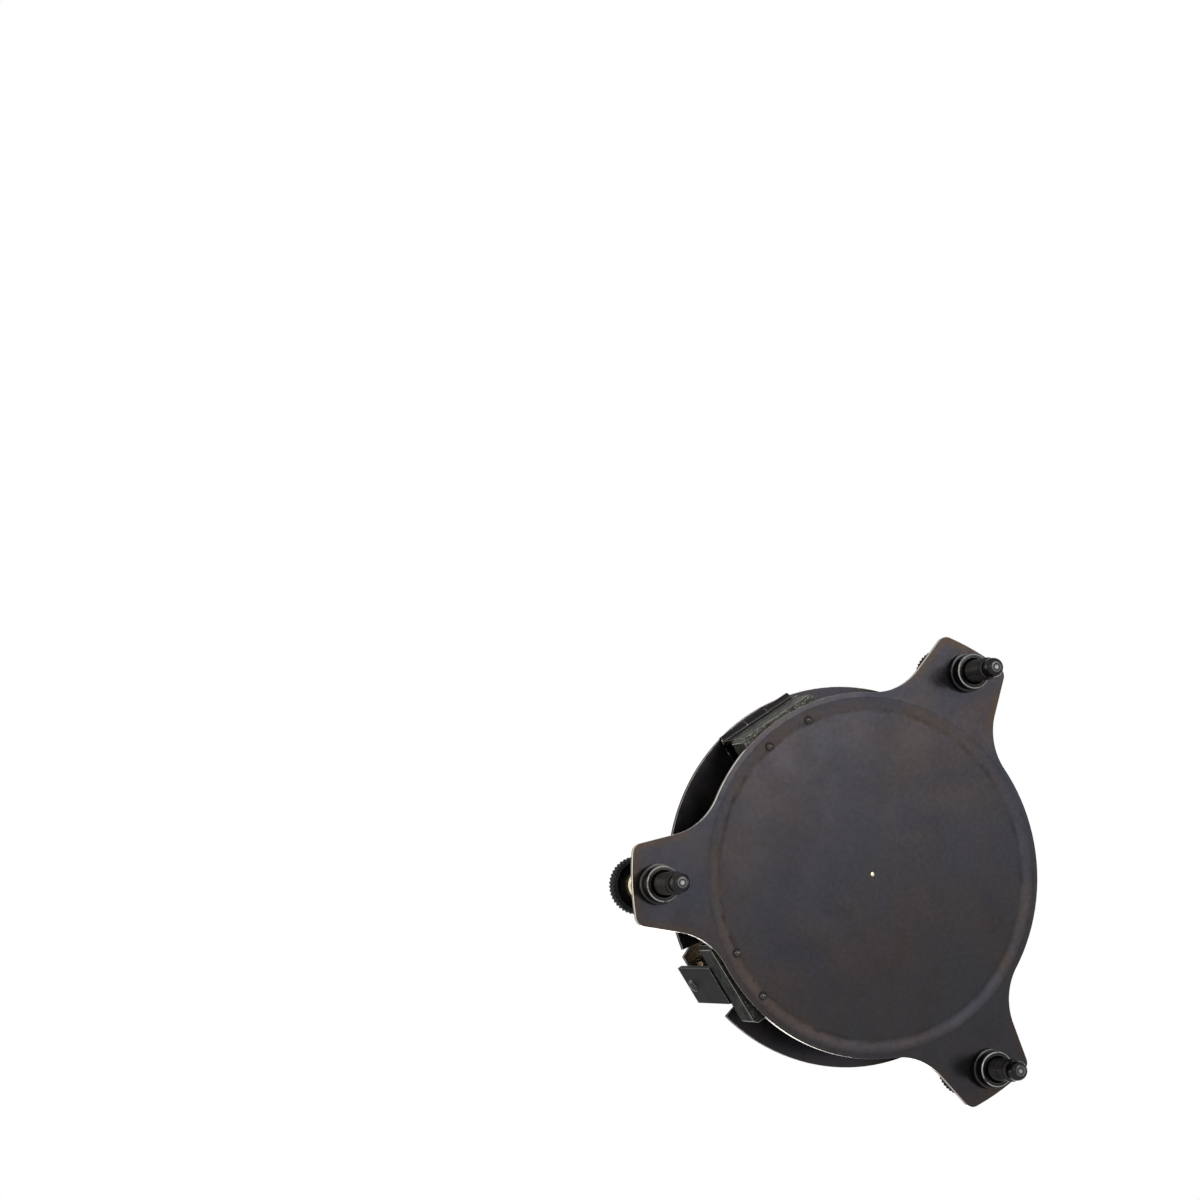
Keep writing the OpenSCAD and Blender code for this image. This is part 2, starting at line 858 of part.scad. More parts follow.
// Bar across the ring, stepped up at its ends to lap over it, with two ears for the gnomon
module gnomon_bar() {
    color("#4a4748")
        difference() {
            union() {
                translate([-bar_w / 2, -bar_step_y, ring_z])
                    cube([bar_w, 2 * bar_step_y, bar_t]);
                for (s = [-1, 1])
                    translate([-bar_w / 2, s > 0 ? bar_step_y - 2 : -ring_in_r - bar_lap, ring_top])
                        cube([bar_w, ring_in_r + bar_lap - bar_step_y + 2, bar_cap_t]);
                for (s = [-1, 1])
                    translate([s * (ear_gap + ear_t) / 2, 0, 0]) {
                        translate([0, 0, pivot_z])
                            rod_x(hub_r + 0.4, ear_t);
                        translate([-ear_t / 2, -hub_r - 0.4, ring_z])
                            cube([ear_t, 2 * hub_r + 0.8, pivot_z - ring_z]);
                    }
            }
            translate([0, 0, pivot_z])
                rod_x(gnomon_pin_r, bar_w + 2 * over);
            bar_rivet_holes();
        }
}

module bar_rivets() {
    color("#8d8a84")
        for (s = [-1, 1])
            translate([0, s * bar_rivet_y, 0]) {
                translate([0, 0, ring_z])
                    cylinder(r = ring_rivet_r, h = ring_t + bar_cap_t);
                translate([0, 0, ring_top + bar_cap_t])
                    domed_head(ring_rivet_head_r, head_dome);
            }
}

// Tapered rod on a small hub, lying along the bar
module gnomon() {
    color("#b3924f")
        translate([0, 0, pivot_z])
            difference() {
                union() {
                    rod_x(hub_r, ear_gap - 2 * pass_gap / 3);
                    rotate([90, 0, 0])
                        cylinder(r1 = gnomon_r, r2 = gnomon_tip_r, h = gnomon_l);
                }
                rod_x(gnomon_pin_r + run_gap, ear_gap + 2 * over);
            }
}

module gnomon_pin() {
    color("#8d8a84")
        translate([0, 0, pivot_z])
            rod_x(gnomon_pin_r, ear_gap + 2 * ear_t);
}

// Angle bracket on the arc block, with a small gusset fillet inside
module arc_bracket() {
    half = bracket_w / 2;
    bend_r = 2;
    color("#454243")
        difference() {
            translate([0, arc_shift + half, 0])
                rotate([90, 0, 0])
                    linear_extrude(bracket_w)
                        difference() {
                            polygon([
                                [block_in, block_top],
                                [bracket_out, block_top],
                                [bracket_out, bracket_top],
                                [bracket_in, bracket_top],
                                [bracket_in, block_top + leaf_t + bend_r],
                                [bracket_in - bend_r, block_top + leaf_t],
                                [block_in, block_top + leaf_t]
                            ]);
                            translate([bracket_in - bend_r, block_top + leaf_t + bend_r])
                                circle(r = bend_r);
                        }
            for (s = [-1, 1])
                translate([upper_screw_y, arc_shift + s * bracket_w / 3, block_top - over])
                    cylinder(r = screw_r, h = leaf_t + 2 * over);
            translate([bracket_in, arc_shift, rivet_z])
                rod_x(rivet_shank_r, 2 * arc_t + 2 * over);
        }
}

module bracket_screws() {
    color("#8d8a84")
        for (s = [-1, 1])
            translate([upper_screw_y, arc_shift + s * bracket_w / 3, 0]) {
                translate([0, 0, upper_screw_bottom])
                    cylinder(r = screw_r, h = block_top + leaf_t - upper_screw_bottom);
                translate([0, 0, block_top + leaf_t])
                    domed_head(screw_r + 0.8, head_dome);
            }
}

// Turns a hinge drawn along X so that it runs along Y at the arc's hinge
module at_arc_hinge() {
    translate([arc_hinge_x, arc_shift, arc_hinge_z])
        rotate([0, 0, 90])
            children();
}

// Fixed leaf inside the bracket
module arc_hinge_base() {
    leaf_bottom = rivet_z - 3.2;
    color("#3a393a")
        difference() {
            union() {
                translate([bracket_in - arc_leaf_t, arc_shift - arc_hinge_w / 2, leaf_bottom])
                    cube([arc_leaf_t, arc_hinge_w, arc_hinge_z - leaf_bottom]);
                at_arc_hinge()
                    knuckles(arc_knuckle_r, arc_pin_r + run_gap, arc_hinge_w, arc_knuckle_mid, false);
            }
            translate([bracket_in - arc_leaf_t - over, arc_shift - arc_knuckle_mid / 2,
                arc_hinge_z - arc_knuckle_r - pass_gap])
                cube([arc_leaf_t + over, arc_knuckle_mid, 2 * arc_knuckle_r]);
            at_arc_hinge()
                pin_bore(arc_pin_r, arc_hinge_w);
            translate([bracket_in, arc_shift, rivet_z])
                rod_x(rivet_shank_r, 2 * arc_t + 2 * over);
        }
}

module arc_rivet() {
    color("#a8a49a")
        translate([0, arc_shift, rivet_z]) {
            translate([bracket_in - arc_leaf_t, 0, 0])
                rotate([0, 90, 0])
                    cylinder(r = rivet_shank_r, h = arc_leaf_t + arc_t);
            translate([bracket_out, 0, 0])
                rotate([0, 90, 0])
                    domed_head(rivet_head_r, head_dome + 0.3);
        }
}

module arc_hinge_pin() {
    color("#c9a862")
        at_arc_hinge()
            rod_x(arc_pin_r, arc_hinge_w);
}

// Draws a shape of the raised arc in the plane of the bracket, then folds it down over the dial.
// The flat drawing has y across the plate and z up; the extrusion runs from the inner face outwards.
module folded() {
    translate([arc_hinge_x, 0, arc_hinge_z])
        rotate([0, -90, 0])
            translate([-arc_hinge_x, 0, -arc_hinge_z])
                children();
}

// Stands a flat drawing (y, z) up at the given distance from the centre
module upright(x, t) {
    translate([x, 0, 0])
        rotate([90, 0, 90])
            linear_extrude(t)
                children();
}

// Places of the rivets through the arc's foot
module at_leaf_rivets() {
    for (s = [-1, 1])
        translate([0, arc_shift + s * arc_hinge_w / 3.2, arc_foot_z + arc_foot_h / 2])
            children();
}

// Moving leaf of the arc's hinge, with the middle knuckle
module arc_hinge_leaf() {
    color("#3a393a")
        folded()
            difference() {
                union() {
                    translate([bracket_in - arc_leaf_t, arc_shift - arc_hinge_w / 2, arc_hinge_z + arc_leaf_clear])
                        cube([arc_leaf_t, arc_hinge_w, arc_leaf_l - arc_leaf_clear]);
                    translate([bracket_in - arc_leaf_t, arc_shift - arc_knuckle_mid / 2 + run_gap, arc_hinge_z])
                        cube([arc_leaf_t - 0.1, arc_knuckle_mid - 2 * run_gap, arc_leaf_l]);
                    at_arc_hinge()
                        knuckles(arc_knuckle_r, arc_pin_r + run_gap, arc_hinge_w, arc_knuckle_mid, true);
                }
                at_arc_hinge()
                    pin_bore(arc_pin_r, arc_hinge_w);
                at_leaf_rivets()
                    translate([bracket_in, 0, 0])
                        rod_x(ring_rivet_r, 2 * arc_t + 2 * over);
            }
}

module arc_leaf_rivets() {
    color("#8d8a84")
        folded()
            at_leaf_rivets() {
                translate([bracket_in - arc_leaf_t, 0, 0])
                    rotate([0, 90, 0])
                        cylinder(r = ring_rivet_r, h = arc_leaf_t + arc_t);
                translate([bracket_out, 0, 0])
                    rotate([0, 90, 0])
                        domed_head(ring_rivet_head_r, head_dome);
            }
}

// Ring sector about the ring's hinge, with a square foot over the bracket
module arc_outline() {
    far = arc_out_r * 1.5;
    difference() {
        translate([hinge_y, hinge_z])
            difference() {
                circle(r = arc_out_r, $fn = 180);
                circle(r = arc_in_r, $fn = 180);
                polygon([[0, 0], [-far * cos(arc_end), far * sin(arc_end)], [0, far * 2], [far * 2, 0]]);
            }
        translate([-arc_out_r, -arc_out_r])
            square([4 * arc_out_r, arc_out_r + arc_foot_z]);
        translate([hinge_y, -over])
            square([2 * arc_out_r, 3 * arc_out_r]);
    }
    intersection() {
        translate([arc_shift - bracket_w / 2, arc_foot_z])
            square([bracket_w, arc_foot_h]);
        translate([hinge_y, hinge_z])
            circle(r = arc_out_r + 2, $fn = 180);
    }
}

module latitude_arc() {
    color("#b3924f")
        folded()
            difference() {
                upright(bracket_in, arc_t)
                    arc_outline();
                at_leaf_rivets()
                    translate([bracket_in, 0, 0])
                        rod_x(ring_rivet_r, 2 * arc_t + 2 * over);
            }
}

base_plate();
foot_bush(1);  // foot_bush_1
foot_bush(2);  // foot_bush_2
foot_bush(3);  // foot_bush_3
levelling_screw(1);  // levelling_screw_1
levelling_screw(2);  // levelling_screw_2
levelling_screw(3);  // levelling_screw_3
screw_collar(1);  // screw_collar_1
screw_collar(2);  // screw_collar_2
screw_collar(3);  // screw_collar_3
knurled_head(1);  // knurled_head_1
knurled_head(2);  // knurled_head_2
knurled_head(3);  // knurled_head_3
foot_tip(1);  // foot_tip_1
foot_tip(2);  // foot_tip_2
foot_tip(3);  // foot_tip_3
hinge_block();
arc_block();
block_screws();
compass_bowl();
compass_card();
degree_ring();
needle_pivot();
compass_needle();
needle_cap();
compass_glass();
bezel_ring();
south_level_housing();
south_level_vial();
west_level_housing();
west_level_vial();
ring_hinge_base();
hinge_base_screws();
ring_hinge_pin();
ring_hinge_leaf();
ring_rivets();
hour_ring();
gnomon_bar();
bar_rivets();
gnomon();
gnomon_pin();
arc_bracket();
bracket_screws();
arc_hinge_base();
arc_rivet();
arc_hinge_pin();
arc_hinge_leaf();
arc_leaf_rivets();
latitude_arc();
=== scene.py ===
import json
import math

import bmesh
import bpy
from mathutils import Matrix, Vector

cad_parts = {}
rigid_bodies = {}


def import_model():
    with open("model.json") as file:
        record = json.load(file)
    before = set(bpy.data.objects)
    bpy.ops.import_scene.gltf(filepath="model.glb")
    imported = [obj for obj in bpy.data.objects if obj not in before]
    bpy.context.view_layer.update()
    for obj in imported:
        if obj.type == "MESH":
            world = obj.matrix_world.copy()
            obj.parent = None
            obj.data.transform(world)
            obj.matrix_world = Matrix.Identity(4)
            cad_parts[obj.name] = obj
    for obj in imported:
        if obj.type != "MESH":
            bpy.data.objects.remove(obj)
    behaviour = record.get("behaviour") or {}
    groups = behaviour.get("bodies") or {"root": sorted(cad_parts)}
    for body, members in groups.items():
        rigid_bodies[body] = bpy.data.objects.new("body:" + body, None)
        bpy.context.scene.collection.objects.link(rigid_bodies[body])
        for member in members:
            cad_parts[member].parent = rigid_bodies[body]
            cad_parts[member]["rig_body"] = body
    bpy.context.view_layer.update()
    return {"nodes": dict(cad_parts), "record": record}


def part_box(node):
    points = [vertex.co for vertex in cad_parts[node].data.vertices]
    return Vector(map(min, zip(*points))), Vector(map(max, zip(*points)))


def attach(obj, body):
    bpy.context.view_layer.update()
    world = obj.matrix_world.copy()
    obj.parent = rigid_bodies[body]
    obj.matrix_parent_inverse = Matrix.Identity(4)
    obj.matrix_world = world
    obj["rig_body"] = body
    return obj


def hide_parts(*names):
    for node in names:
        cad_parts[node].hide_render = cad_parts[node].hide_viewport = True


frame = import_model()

# Viewpoint
# The instrument is tipped up with its underside to the lens, so the camera looks
# up at the plate from below and from the north-east, through a long lens: the
# nearest foot is drawn hardly larger than the others.
CAMERA_PLACE = Vector((0.3499, 0.1974, -0.8868))
CAMERA_AIM = Vector((0.0308, 0.1183, 0.0))
CAMERA_UP = Vector((-0.5078, 0.8548, -0.1065))
CAMERA_LENS = 93
SENSOR = 36

scene = bpy.context.scene
scene.view_settings.view_transform = "Standard"
camera = bpy.data.objects.new("camera", bpy.data.cameras.new("camera"))
scene.collection.objects.link(camera)
camera.data.sensor_width = SENSOR
camera.data.lens = CAMERA_LENS
camera.data.clip_start = 0.01
camera.data.clip_end = 20
look_back = (CAMERA_PLACE - CAMERA_AIM).normalized()
look_right = CAMERA_UP.cross(look_back).normalized()
look_up = look_back.cross(look_right)
facing = Matrix((look_right, look_up, look_back)).transposed().to_4x4()
camera.matrix_world = Matrix.Translation(CAMERA_PLACE) @ facing
scene.camera = camera


# Light and floor
# Plain soft lamps: the main one on the side that the photograph is lit from, a
# small one for a glint on the turned ends, and others beside, above and behind.
# The pale paper floor turns into the white of the backdrop further out.
LAMPS = {
    "lamp_main": {"place": (-0.45, 0.23, -0.95), "size": 0.5, "power": 4.2},
    "lamp_key": {"place": (0.42, 0.60, -0.85), "size": 0.13, "power": 1.2},
    "lamp_side": {"place": (-0.95, -0.45, -0.45), "size": 0.5, "power": 2.6},
    "lamp_top": {"place": (-0.40, -0.55, 1.00), "size": 0.9, "power": 6.0},
    "lamp_back": {"place": (0.70, 0.60, 0.75), "size": 0.7, "power": 3.5},
}
for lamp_name, lamp_facts in LAMPS.items():
    lamp = bpy.data.objects.new(lamp_name, bpy.data.lights.new(lamp_name, "AREA"))
    scene.collection.objects.link(lamp)
    lamp.data.size = lamp_facts["size"]
    lamp.data.energy = lamp_facts["power"]
    lamp.location = lamp_facts["place"]
    lamp.rotation_euler = Vector(lamp_facts["place"]).to_track_quat("Z", "Y").to_euler()


class Value:
    """A socket of a node tree, so that shader maths is written as Python arithmetic."""

    def __init__(self, net, socket):
        self.net, self.socket = net, socket

    def math(self, operation, *values):
        inputs = dict(enumerate(values or (self,)))
        return self.net.add("ShaderNodeMath", {"operation": operation}, inputs)[0]

    def __add__(self, other):
        return self.math("ADD", self, other)

    def __sub__(self, other):
        return self.math("SUBTRACT", self, other)

    def __rsub__(self, other):
        return self.math("SUBTRACT", other, self)

    def __mul__(self, other):
        return self.math("MULTIPLY", self, other)

    def __mod__(self, other):
        return self.math("FLOORED_MODULO", self, other)

    def __abs__(self):
        return self.math("ABSOLUTE")

    def cos(self):
        return self.math("COSINE")

    def sin(self):
        return self.math("SINE")

    def at_least(self, other):
        return self.math("MAXIMUM", self, other)

    def at_most(self, other):
        return self.math("MINIMUM", self, other)

    def angle(self, x):
        """Direction of the point (x, self), in radians."""
        return self.math("ARCTAN2", self, x)

    def distance(self, other):
        """Length of the vector (self, other)."""
        return self.math("POWER", self * self + other * other, 0.5)

    def ramp(self, low, high):
        """0 at low and 1 at high, smooth between them."""
        settings = {"interpolation_type": "SMOOTHSTEP"}
        if low < high:
            return self.net.add("ShaderNodeMapRange", settings, {0: self, 1: low, 2: high})[0]
        return self.net.add("ShaderNodeMapRange", settings, {0: self, 1: high, 2: low, 3: 1, 4: 0})[0]

    def line(self, middle, width):
        """1 where the value is at middle, falling to 0 at width on either side."""
        return abs(self - middle).ramp(width, 0)

    __radd__, __rmul__ = __add__, __mul__


class Net:
    """A node tree, and one method that adds any kind of node to it."""

    def __init__(self, tree):
        self.tree = tree
        tree.nodes.clear()

    def feed(self, socket, value):
        if isinstance(value, Value):
            self.tree.links.new(value.socket, socket)
        elif socket.type == "RGBA":
            socket.default_value = (*value[:3], 1)
        else:
            socket.default_value = value

    def add(self, kind, settings, inputs):
        """Adds a node: its settings first, then values or links for its inputs."""
        node = self.tree.nodes.new(kind)
        for key, value in settings.items():
            setattr(node, key, value)
        for key, value in inputs.items():
            self.feed(node.inputs[key], value)
        return [Value(self, s) for s in node.outputs if s.enabled]


AMBIENT = (0.45, 0.45, 0.46)
WHITE = (1, 1, 1)
world = bpy.data.worlds.new("studio")
world.use_nodes = True
scene.world = world
air = Net(world.node_tree)
ray_kinds = {s.socket.name: s for s in air.add("ShaderNodeLightPath", {}, {})}
seen = ray_kinds["Is Camera Ray"]
for kind_of_ray in ("Is Glossy Ray", "Is Transmission Ray"):
    seen = seen.at_least(ray_kinds[kind_of_ray])
sky = air.add("ShaderNodeMix", {"data_type": "RGBA"}, {0: seen, 6: AMBIENT, 7: WHITE})[0]
air.add("ShaderNodeOutputWorld", {}, {0: air.add("ShaderNodeBackground", {}, {0: sky})[0]})


class Finish(Net):
    """A material: the sockets of its shader and the nodes that feed them."""

    def __init__(self, name, **sockets):
        self.material = bpy.data.materials.new(name)
        self.material.use_nodes = True
        super().__init__(self.material.node_tree)
        self.shader = self.tree.nodes.new("ShaderNodeBsdfPrincipled")
        self.output = self.tree.nodes.new("ShaderNodeOutputMaterial")
        self.tree.links.new(self.shader.outputs[0], self.output.inputs[0])
        for key, value in sockets.items():
            self.set(key, value)

    def set(self, key, value):
        self.feed(self.shader.inputs[key.replace("_", " ")], value)

    def xyz(self):
        return self.add("ShaderNodeSeparateXYZ", {}, {0: self.add("ShaderNodeTexCoord", {}, {})[3]})

    def noise(self, size, detail=3, rough=0.5, stretch=(1, 1, 1)):
        """Cloudy pattern whose blots are about size metres across."""
        place = self.add("ShaderNodeTexCoord", {}, {})[3]
        drawn = self.add("ShaderNodeVectorMath", {"operation": "MULTIPLY"}, {0: place, 1: stretch})[0]
        return self.add("ShaderNodeTexNoise", {}, {
            "Vector": drawn, "Scale": 1 / size, "Detail": detail, "Roughness": rough})[0]

    def mix(self, factor, a, b):
        return self.add("ShaderNodeMix", {"data_type": "RGBA"}, {0: factor, 6: a, 7: b})[0]

    def worn(self):
        """1 along the rounded edges that handling has rubbed bright."""
        return self.add("ShaderNodeAttribute", {"attribute_name": "wear"}, {})[2]

    def bump(self, height, depth):
        self.set("Normal", self.add("ShaderNodeBump", {}, {"Height": height, "Distance": depth})[0])


FLOOR_HALF = 3.0
FADE_START, FADE_END = 0.15, 1.2
PAPER = (0.80, 0.79, 0.77)
PAPER_SHADE = (0.78, 0.77, 0.75)
PAPER_CLOUD = 0.2
BLACKNESS = (0, 0, 0)
foot_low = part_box("foot_tip_1")[0].z
floor_square = ((-1, -1), (1, -1), (1, 1), (-1, 1))
floor_corners = [(FLOOR_HALF * x, FLOOR_HALF * y, foot_low) for x, y in floor_square]
floor_mesh = bpy.data.meshes.new("floor")
floor_mesh.from_pydata(floor_corners, [], [(0, 1, 2, 3)])
floor = bpy.data.objects.new("floor", floor_mesh)
scene.collection.objects.link(floor)
paper = Finish("floor_paper", Roughness=0.9, Emission_Strength=1.0)
floor_x, floor_y = paper.xyz()[:2]
far_away = floor_x.distance(floor_y).ramp(FADE_START, FADE_END)
paper_cloud = paper.noise(PAPER_CLOUD).ramp(0.3, 0.7) * 0.3
paper_colour = paper.mix(paper_cloud, PAPER, PAPER_SHADE)
paper.set("Base Color", paper.mix(far_away, paper_colour, BLACKNESS))
paper.set("Emission Color", paper.mix(far_away, BLACKNESS, WHITE))
# Seen from below the floor lets the view through, so that it doesn't hide the plate.
from_below = paper.add("ShaderNodeNewGeometry", {}, {})[6]
nothing = paper.add("ShaderNodeBsdfTransparent", {}, {})[0]
one_sided = paper.add("ShaderNodeMixShader", {}, {
    0: from_below, 1: Value(paper, paper.shader.outputs[0]), 2: nothing})[0]
paper.feed(paper.output.inputs[0], one_sided)
floor_mesh.materials.append(paper.material)
for kind_of_ray in ("shadow", "diffuse", "glossy", "transmission"):
    setattr(floor, "visible_" + kind_of_ray, False)


# Base plate
# A disc with three lugs, cut from thick brass sheet, with a shallow dish turned in
# its underside. The patina is dark and half glossy, under painted shade towards one
# side that mostly spares the sloping band inside the dish, as a painted reflection.
# The lower corner of the sheet's edge is rubbed to pale brass, and painted light makes it brighter on one
# side.
MM = 0.001
TURN = 2 * math.pi
PATINA = (0.062, 0.061, 0.074)
PATINA_BROWN = (0.091, 0.065, 0.050)
PATINA_BLUE = (0.052, 0.055, 0.076)
# Dirt, and also the colour of the painted shade.
DIRT_AND_SHADE = (0.014, 0.012, 0.011)
PALE_BRASS = (0.80, 0.73, 0.58)
SHARP = math.radians(28)
SMOOTH_ROUND = math.radians(3)
SAME_PLANE = math.radians(0.05)
WELD = 0.002 * MM
ROUNDING = 0.12 * MM
EDGE_ROUND = 0.32 * MM
RUBBED_HEIGHT = 0.7 * MM
RIM_EDGE = 55.3 * MM
DISC_EDGE = 50.6 * MM
LUG_REACH = 79.8 * MM
LUG_HALF = 12.1 * MM
LUG_FLARE = math.tan(math.radians(10.8))
LUG_TURN = math.radians(30)
LUG_SPACING = TURN / 3
SCUFF_PLACE = (35.0 * MM, 42.9 * MM)
LIT_AND_HELD_SIDE = (0.75, 0.66)
PAINTED_SHADE_SIDE = (0.35, -0.94)
HEAD_SPACING = 3 * MM
SAME_HEIGHT = 0.01 * MM


def linked(name, data):
    """New object in the scene for a mesh or curve."""
    thing = bpy.data.objects.new(name, data)
    scene.collection.objects.link(thing)
    return thing


def baked(holder):
    """Mesh of an object with its modifiers applied. The object is removed."""
    mesh = bpy.data.meshes.new_from_object(holder.evaluated_get(bpy.context.evaluated_depsgraph_get()))
    bpy.data.objects.remove(holder)
    return mesh


def as_piece(mesh, name, material, body):
    """Links a finished mesh as a piece that rides on a CAD body."""
    piece = linked(name, mesh)
    mesh.materials.clear()
    mesh.materials.append(material)
    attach(piece, body)
    return piece


def instead_of(node, mesh, name, finish):
    """Links a finished mesh in a CAD node's place, on the node's own body."""
    piece = as_piece(mesh, name, finish.material, frame["nodes"][node]["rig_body"])
    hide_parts(node)
    return piece


def dress(node, finish, width=ROUNDING, sharp=SHARP):
    """Puts a copy with rounded edges in a CAD node's place. Those edges carry wear = 1."""
    mesh = bpy.data.meshes.new("finished_" + node)
    work = bmesh.new()
    work.from_mesh(frame["nodes"][node].data)
    bmesh.ops.remove_doubles(work, verts=work.verts, dist=WELD)
    bmesh.ops.dissolve_limit(work, angle_limit=SAME_PLANE, verts=work.verts, edges=work.edges)
    edges = [e for e in work.edges if e.is_manifold and e.calc_face_angle(0) > SHARP]
    made = bmesh.ops.bevel(
        work, geom=edges, offset=width, segments=2, profile=0.5, affect="EDGES", clamp_overlap=True)
    bevelled = set(made["faces"])
    wear = work.verts.layers.float.new("wear")
    for v in work.verts:
        v[wear] = float(all(f in bevelled for f in v.link_faces))
    bmesh.ops.triangulate(work, faces=[f for f in work.faces if len(f.verts) > 4])
    work.to_mesh(mesh)
    work.free()
    mesh.shade_smooth()
    mesh.set_sharp_from_angle(angle=sharp)
    holder = linked("even_normals", mesh)
    even = holder.modifiers.new("even_normals", "WEIGHTED_NORMAL")
    even.weight = 100
    even.keep_sharp = True
    return instead_of(node, baked(holder), "finished_" + node, finish)


def crowns(node, height):
    """Middle of each head, at that height, in a CAD node that holds a group of equal screws."""
    found = []
    for v in frame["nodes"][node].data.vertices:
        apart = all((v.co - other).length > HEAD_SPACING for other in found)
        if apart and abs(v.co.z - height) < SAME_HEIGHT:
            found.append(v.co.copy())
    return found


plate = Finish("plate_bronze", Metallic=0.86)
px, py, pz = plate.xyz()
sheet_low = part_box("base_plate")[0].z

# Where a spot lies: how far from the middle, and how far in from the edge of its lug.
radius = px.distance(py)
lug_turn = (py.angle(px) - LUG_TURN + LUG_SPACING / 2) % LUG_SPACING - LUG_SPACING / 2
along = radius * lug_turn.cos()
across = abs(radius * lug_turn.sin())
to_side = (LUG_REACH - along) * LUG_FLARE + LUG_HALF - across
to_edge = to_side.at_most(LUG_REACH - radius)
edge_haze = to_edge.ramp(3.4 * MM, 0.8 * MM) * along.ramp(57 * MM, 64 * MM)

# Clouds in the patina, from broad to fine.
clouds = plate.noise(38 * MM, 3, 0.5).ramp(0.36, 0.64)
blue_clouds = plate.noise(24 * MM, 2, 0.5, (1, 1.3, 1)).ramp(0.45, 0.7)
smoke = plate.noise(11 * MM, 4, 0.55).ramp(0.48, 0.78)
mottle = plate.noise(1.5 * MM, 4, 0.65).ramp(0.35, 0.65)
pores = plate.noise(0.8 * MM, 2, 0.5).ramp(0.70, 0.78)

# The dish: a dark line at its rim, and a band round its flat middle that the
# painted shade mostly spares, as a painted reflection on the slope.
dish_line = radius.line(RIM_EDGE, 0.45 * MM) * plate.noise(9 * MM).ramp(0.3, 0.6)
band_inside = radius.ramp(DISC_EDGE - 0.3 * MM, DISC_EDGE + 0.5 * MM)
band = band_inside * radius.ramp(RIM_EDGE + 0.4 * MM, RIM_EDGE - 2.2 * MM)
band_painted_sheen = band * radius.ramp(DISC_EDGE + 0.4 * MM, DISC_EDGE + 1.6 * MM)
band_soot = radius.line(DISC_EDGE + 0.7 * MM, 1.3 * MM) * plate.noise(10 * MM, 3, 0.5).ramp(0.35, 0.65)

# Use and light: the held side, whose pale edge is painted brighter as painted light,
# painted shade over one side, scuffs, and painted shade round the foot of each screw head.
# Painted light on the pale edge, strongest on one side, which is also the side most handled.
lit_and_held = (px * LIT_AND_HELD_SIDE[0] + py * LIT_AND_HELD_SIDE[1]).ramp(-28 * MM, 16 * MM) * 0.6 + 0.4
painted_shade = (px * PAINTED_SHADE_SIDE[0] + py * PAINTED_SHADE_SIDE[1]).ramp(-62 * MM, 62 * MM)
near_scuff = (px - SCUFF_PLACE[0]).distance(py - SCUFF_PLACE[1]).ramp(9 * MM, 3 * MM)
scuffs = near_scuff * plate.noise(2.6 * MM, 3, 0.6, (1, 0.35, 1)).ramp(0.58, 0.66)
smudged = plate.noise(3.5 * MM, 4, 0.6).ramp(0.46, 0.70)
smudges = radius.line(DISC_EDGE + 1.3 * MM, 1.2 * MM) * smudged * lit_and_held
# Painted shade: a dark ring round the foot of each screw head.
screw_foot_shade = 0
for head in crowns("block_screws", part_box("block_screws")[0].z):
    screw_foot_shade = (px - head.x).distance(py - head.y).ramp(1.9 * MM, 1.2 * MM) * 0.7 + screw_foot_shade

# Bare brass on the upright edge of the sheet, most of it along the lower corner,
# and painted light makes it brighter on one side.
wall = plate.add("ShaderNodeSeparateXYZ", {}, {0: plate.add("ShaderNodeNewGeometry", {}, {})[1]})[2]
low_edge = pz.ramp(sheet_low + RUBBED_HEIGHT, sheet_low + 0.5 * RUBBED_HEIGHT) * 0.85 + 0.15
uneven = plate.noise(6 * MM).ramp(0.25, 0.50) * 0.4 + 0.6
rubbed = abs(wall).ramp(0.97, 0.80) * lit_and_held * low_edge * uneven

# The layers of colour, one over the other.
colour = plate.mix((clouds * 0.45 + edge_haze * 0.7).at_most(1), PATINA, PATINA_BROWN)
colour = plate.mix(blue_clouds * 0.55, colour, PATINA_BLUE)
colour = plate.mix(band * clouds * 0.5, colour, PATINA_BROWN)
colour = plate.mix(smoke * 0.22 + mottle * 0.20 + dish_line * 0.25 + band_soot * 0.35, colour, DIRT_AND_SHADE)
colour = plate.mix((scuffs * 0.9 + smudges * 0.6 + screw_foot_shade + pores * 0.35).at_most(1), colour, DIRT_AND_SHADE)
# Painted shade: the plate grows darker towards one side, less on the sloping band of the dish.
colour = plate.mix(painted_shade * (1 - band_painted_sheen * 0.75) * 0.58, colour, DIRT_AND_SHADE)
plate.set("Base Color", plate.mix(rubbed, colour, PALE_BRASS))
streaks = plate.noise(16 * MM, 5, 0.6).ramp(0.35, 0.7)
plate.set("Roughness", streaks * 0.07 + 0.14 + smoke * 0.05 + scuffs * 0.2)
plate.bump(plate.noise(0.5 * MM, 3, 0.55), 0.002 * MM)
dress("base_plate", plate, EDGE_ROUND, SMOOTH_ROUND)


# Levelling screws
# Threaded brass stems, blackened, run through turned bushes, with knurled heads
# above and turned buttons below that stand still while the screw turns.
# Heights are taken from the frame; the thread's pitch is the travel per turn.
BLACK = (0.020, 0.021, 0.024)
BLACK_WARM = (0.038, 0.032, 0.027)
SOOT = (0.008, 0.008, 0.009)
STEEL = (0.60, 0.60, 0.57)
KNURL_BLACK = (0.009, 0.0095, 0.011)
THREAD_BLACK = (0.013, 0.013, 0.015)
THREAD_WARM = (0.020, 0.018, 0.017)
THREAD_CREST = (0.66, 0.58, 0.44)
BUSH_EDGE = (0.82, 0.80, 0.74)
BRIGHT_BRASS = (0.86, 0.75, 0.50)
BRIGHT_WARM = (0.80, 0.66, 0.42)
BRIGHT_DIRT = (0.40, 0.30, 0.17)
GRAZING = (0.50, 0.50, 0.50)
THREAD_PITCH = 1.0 * MM
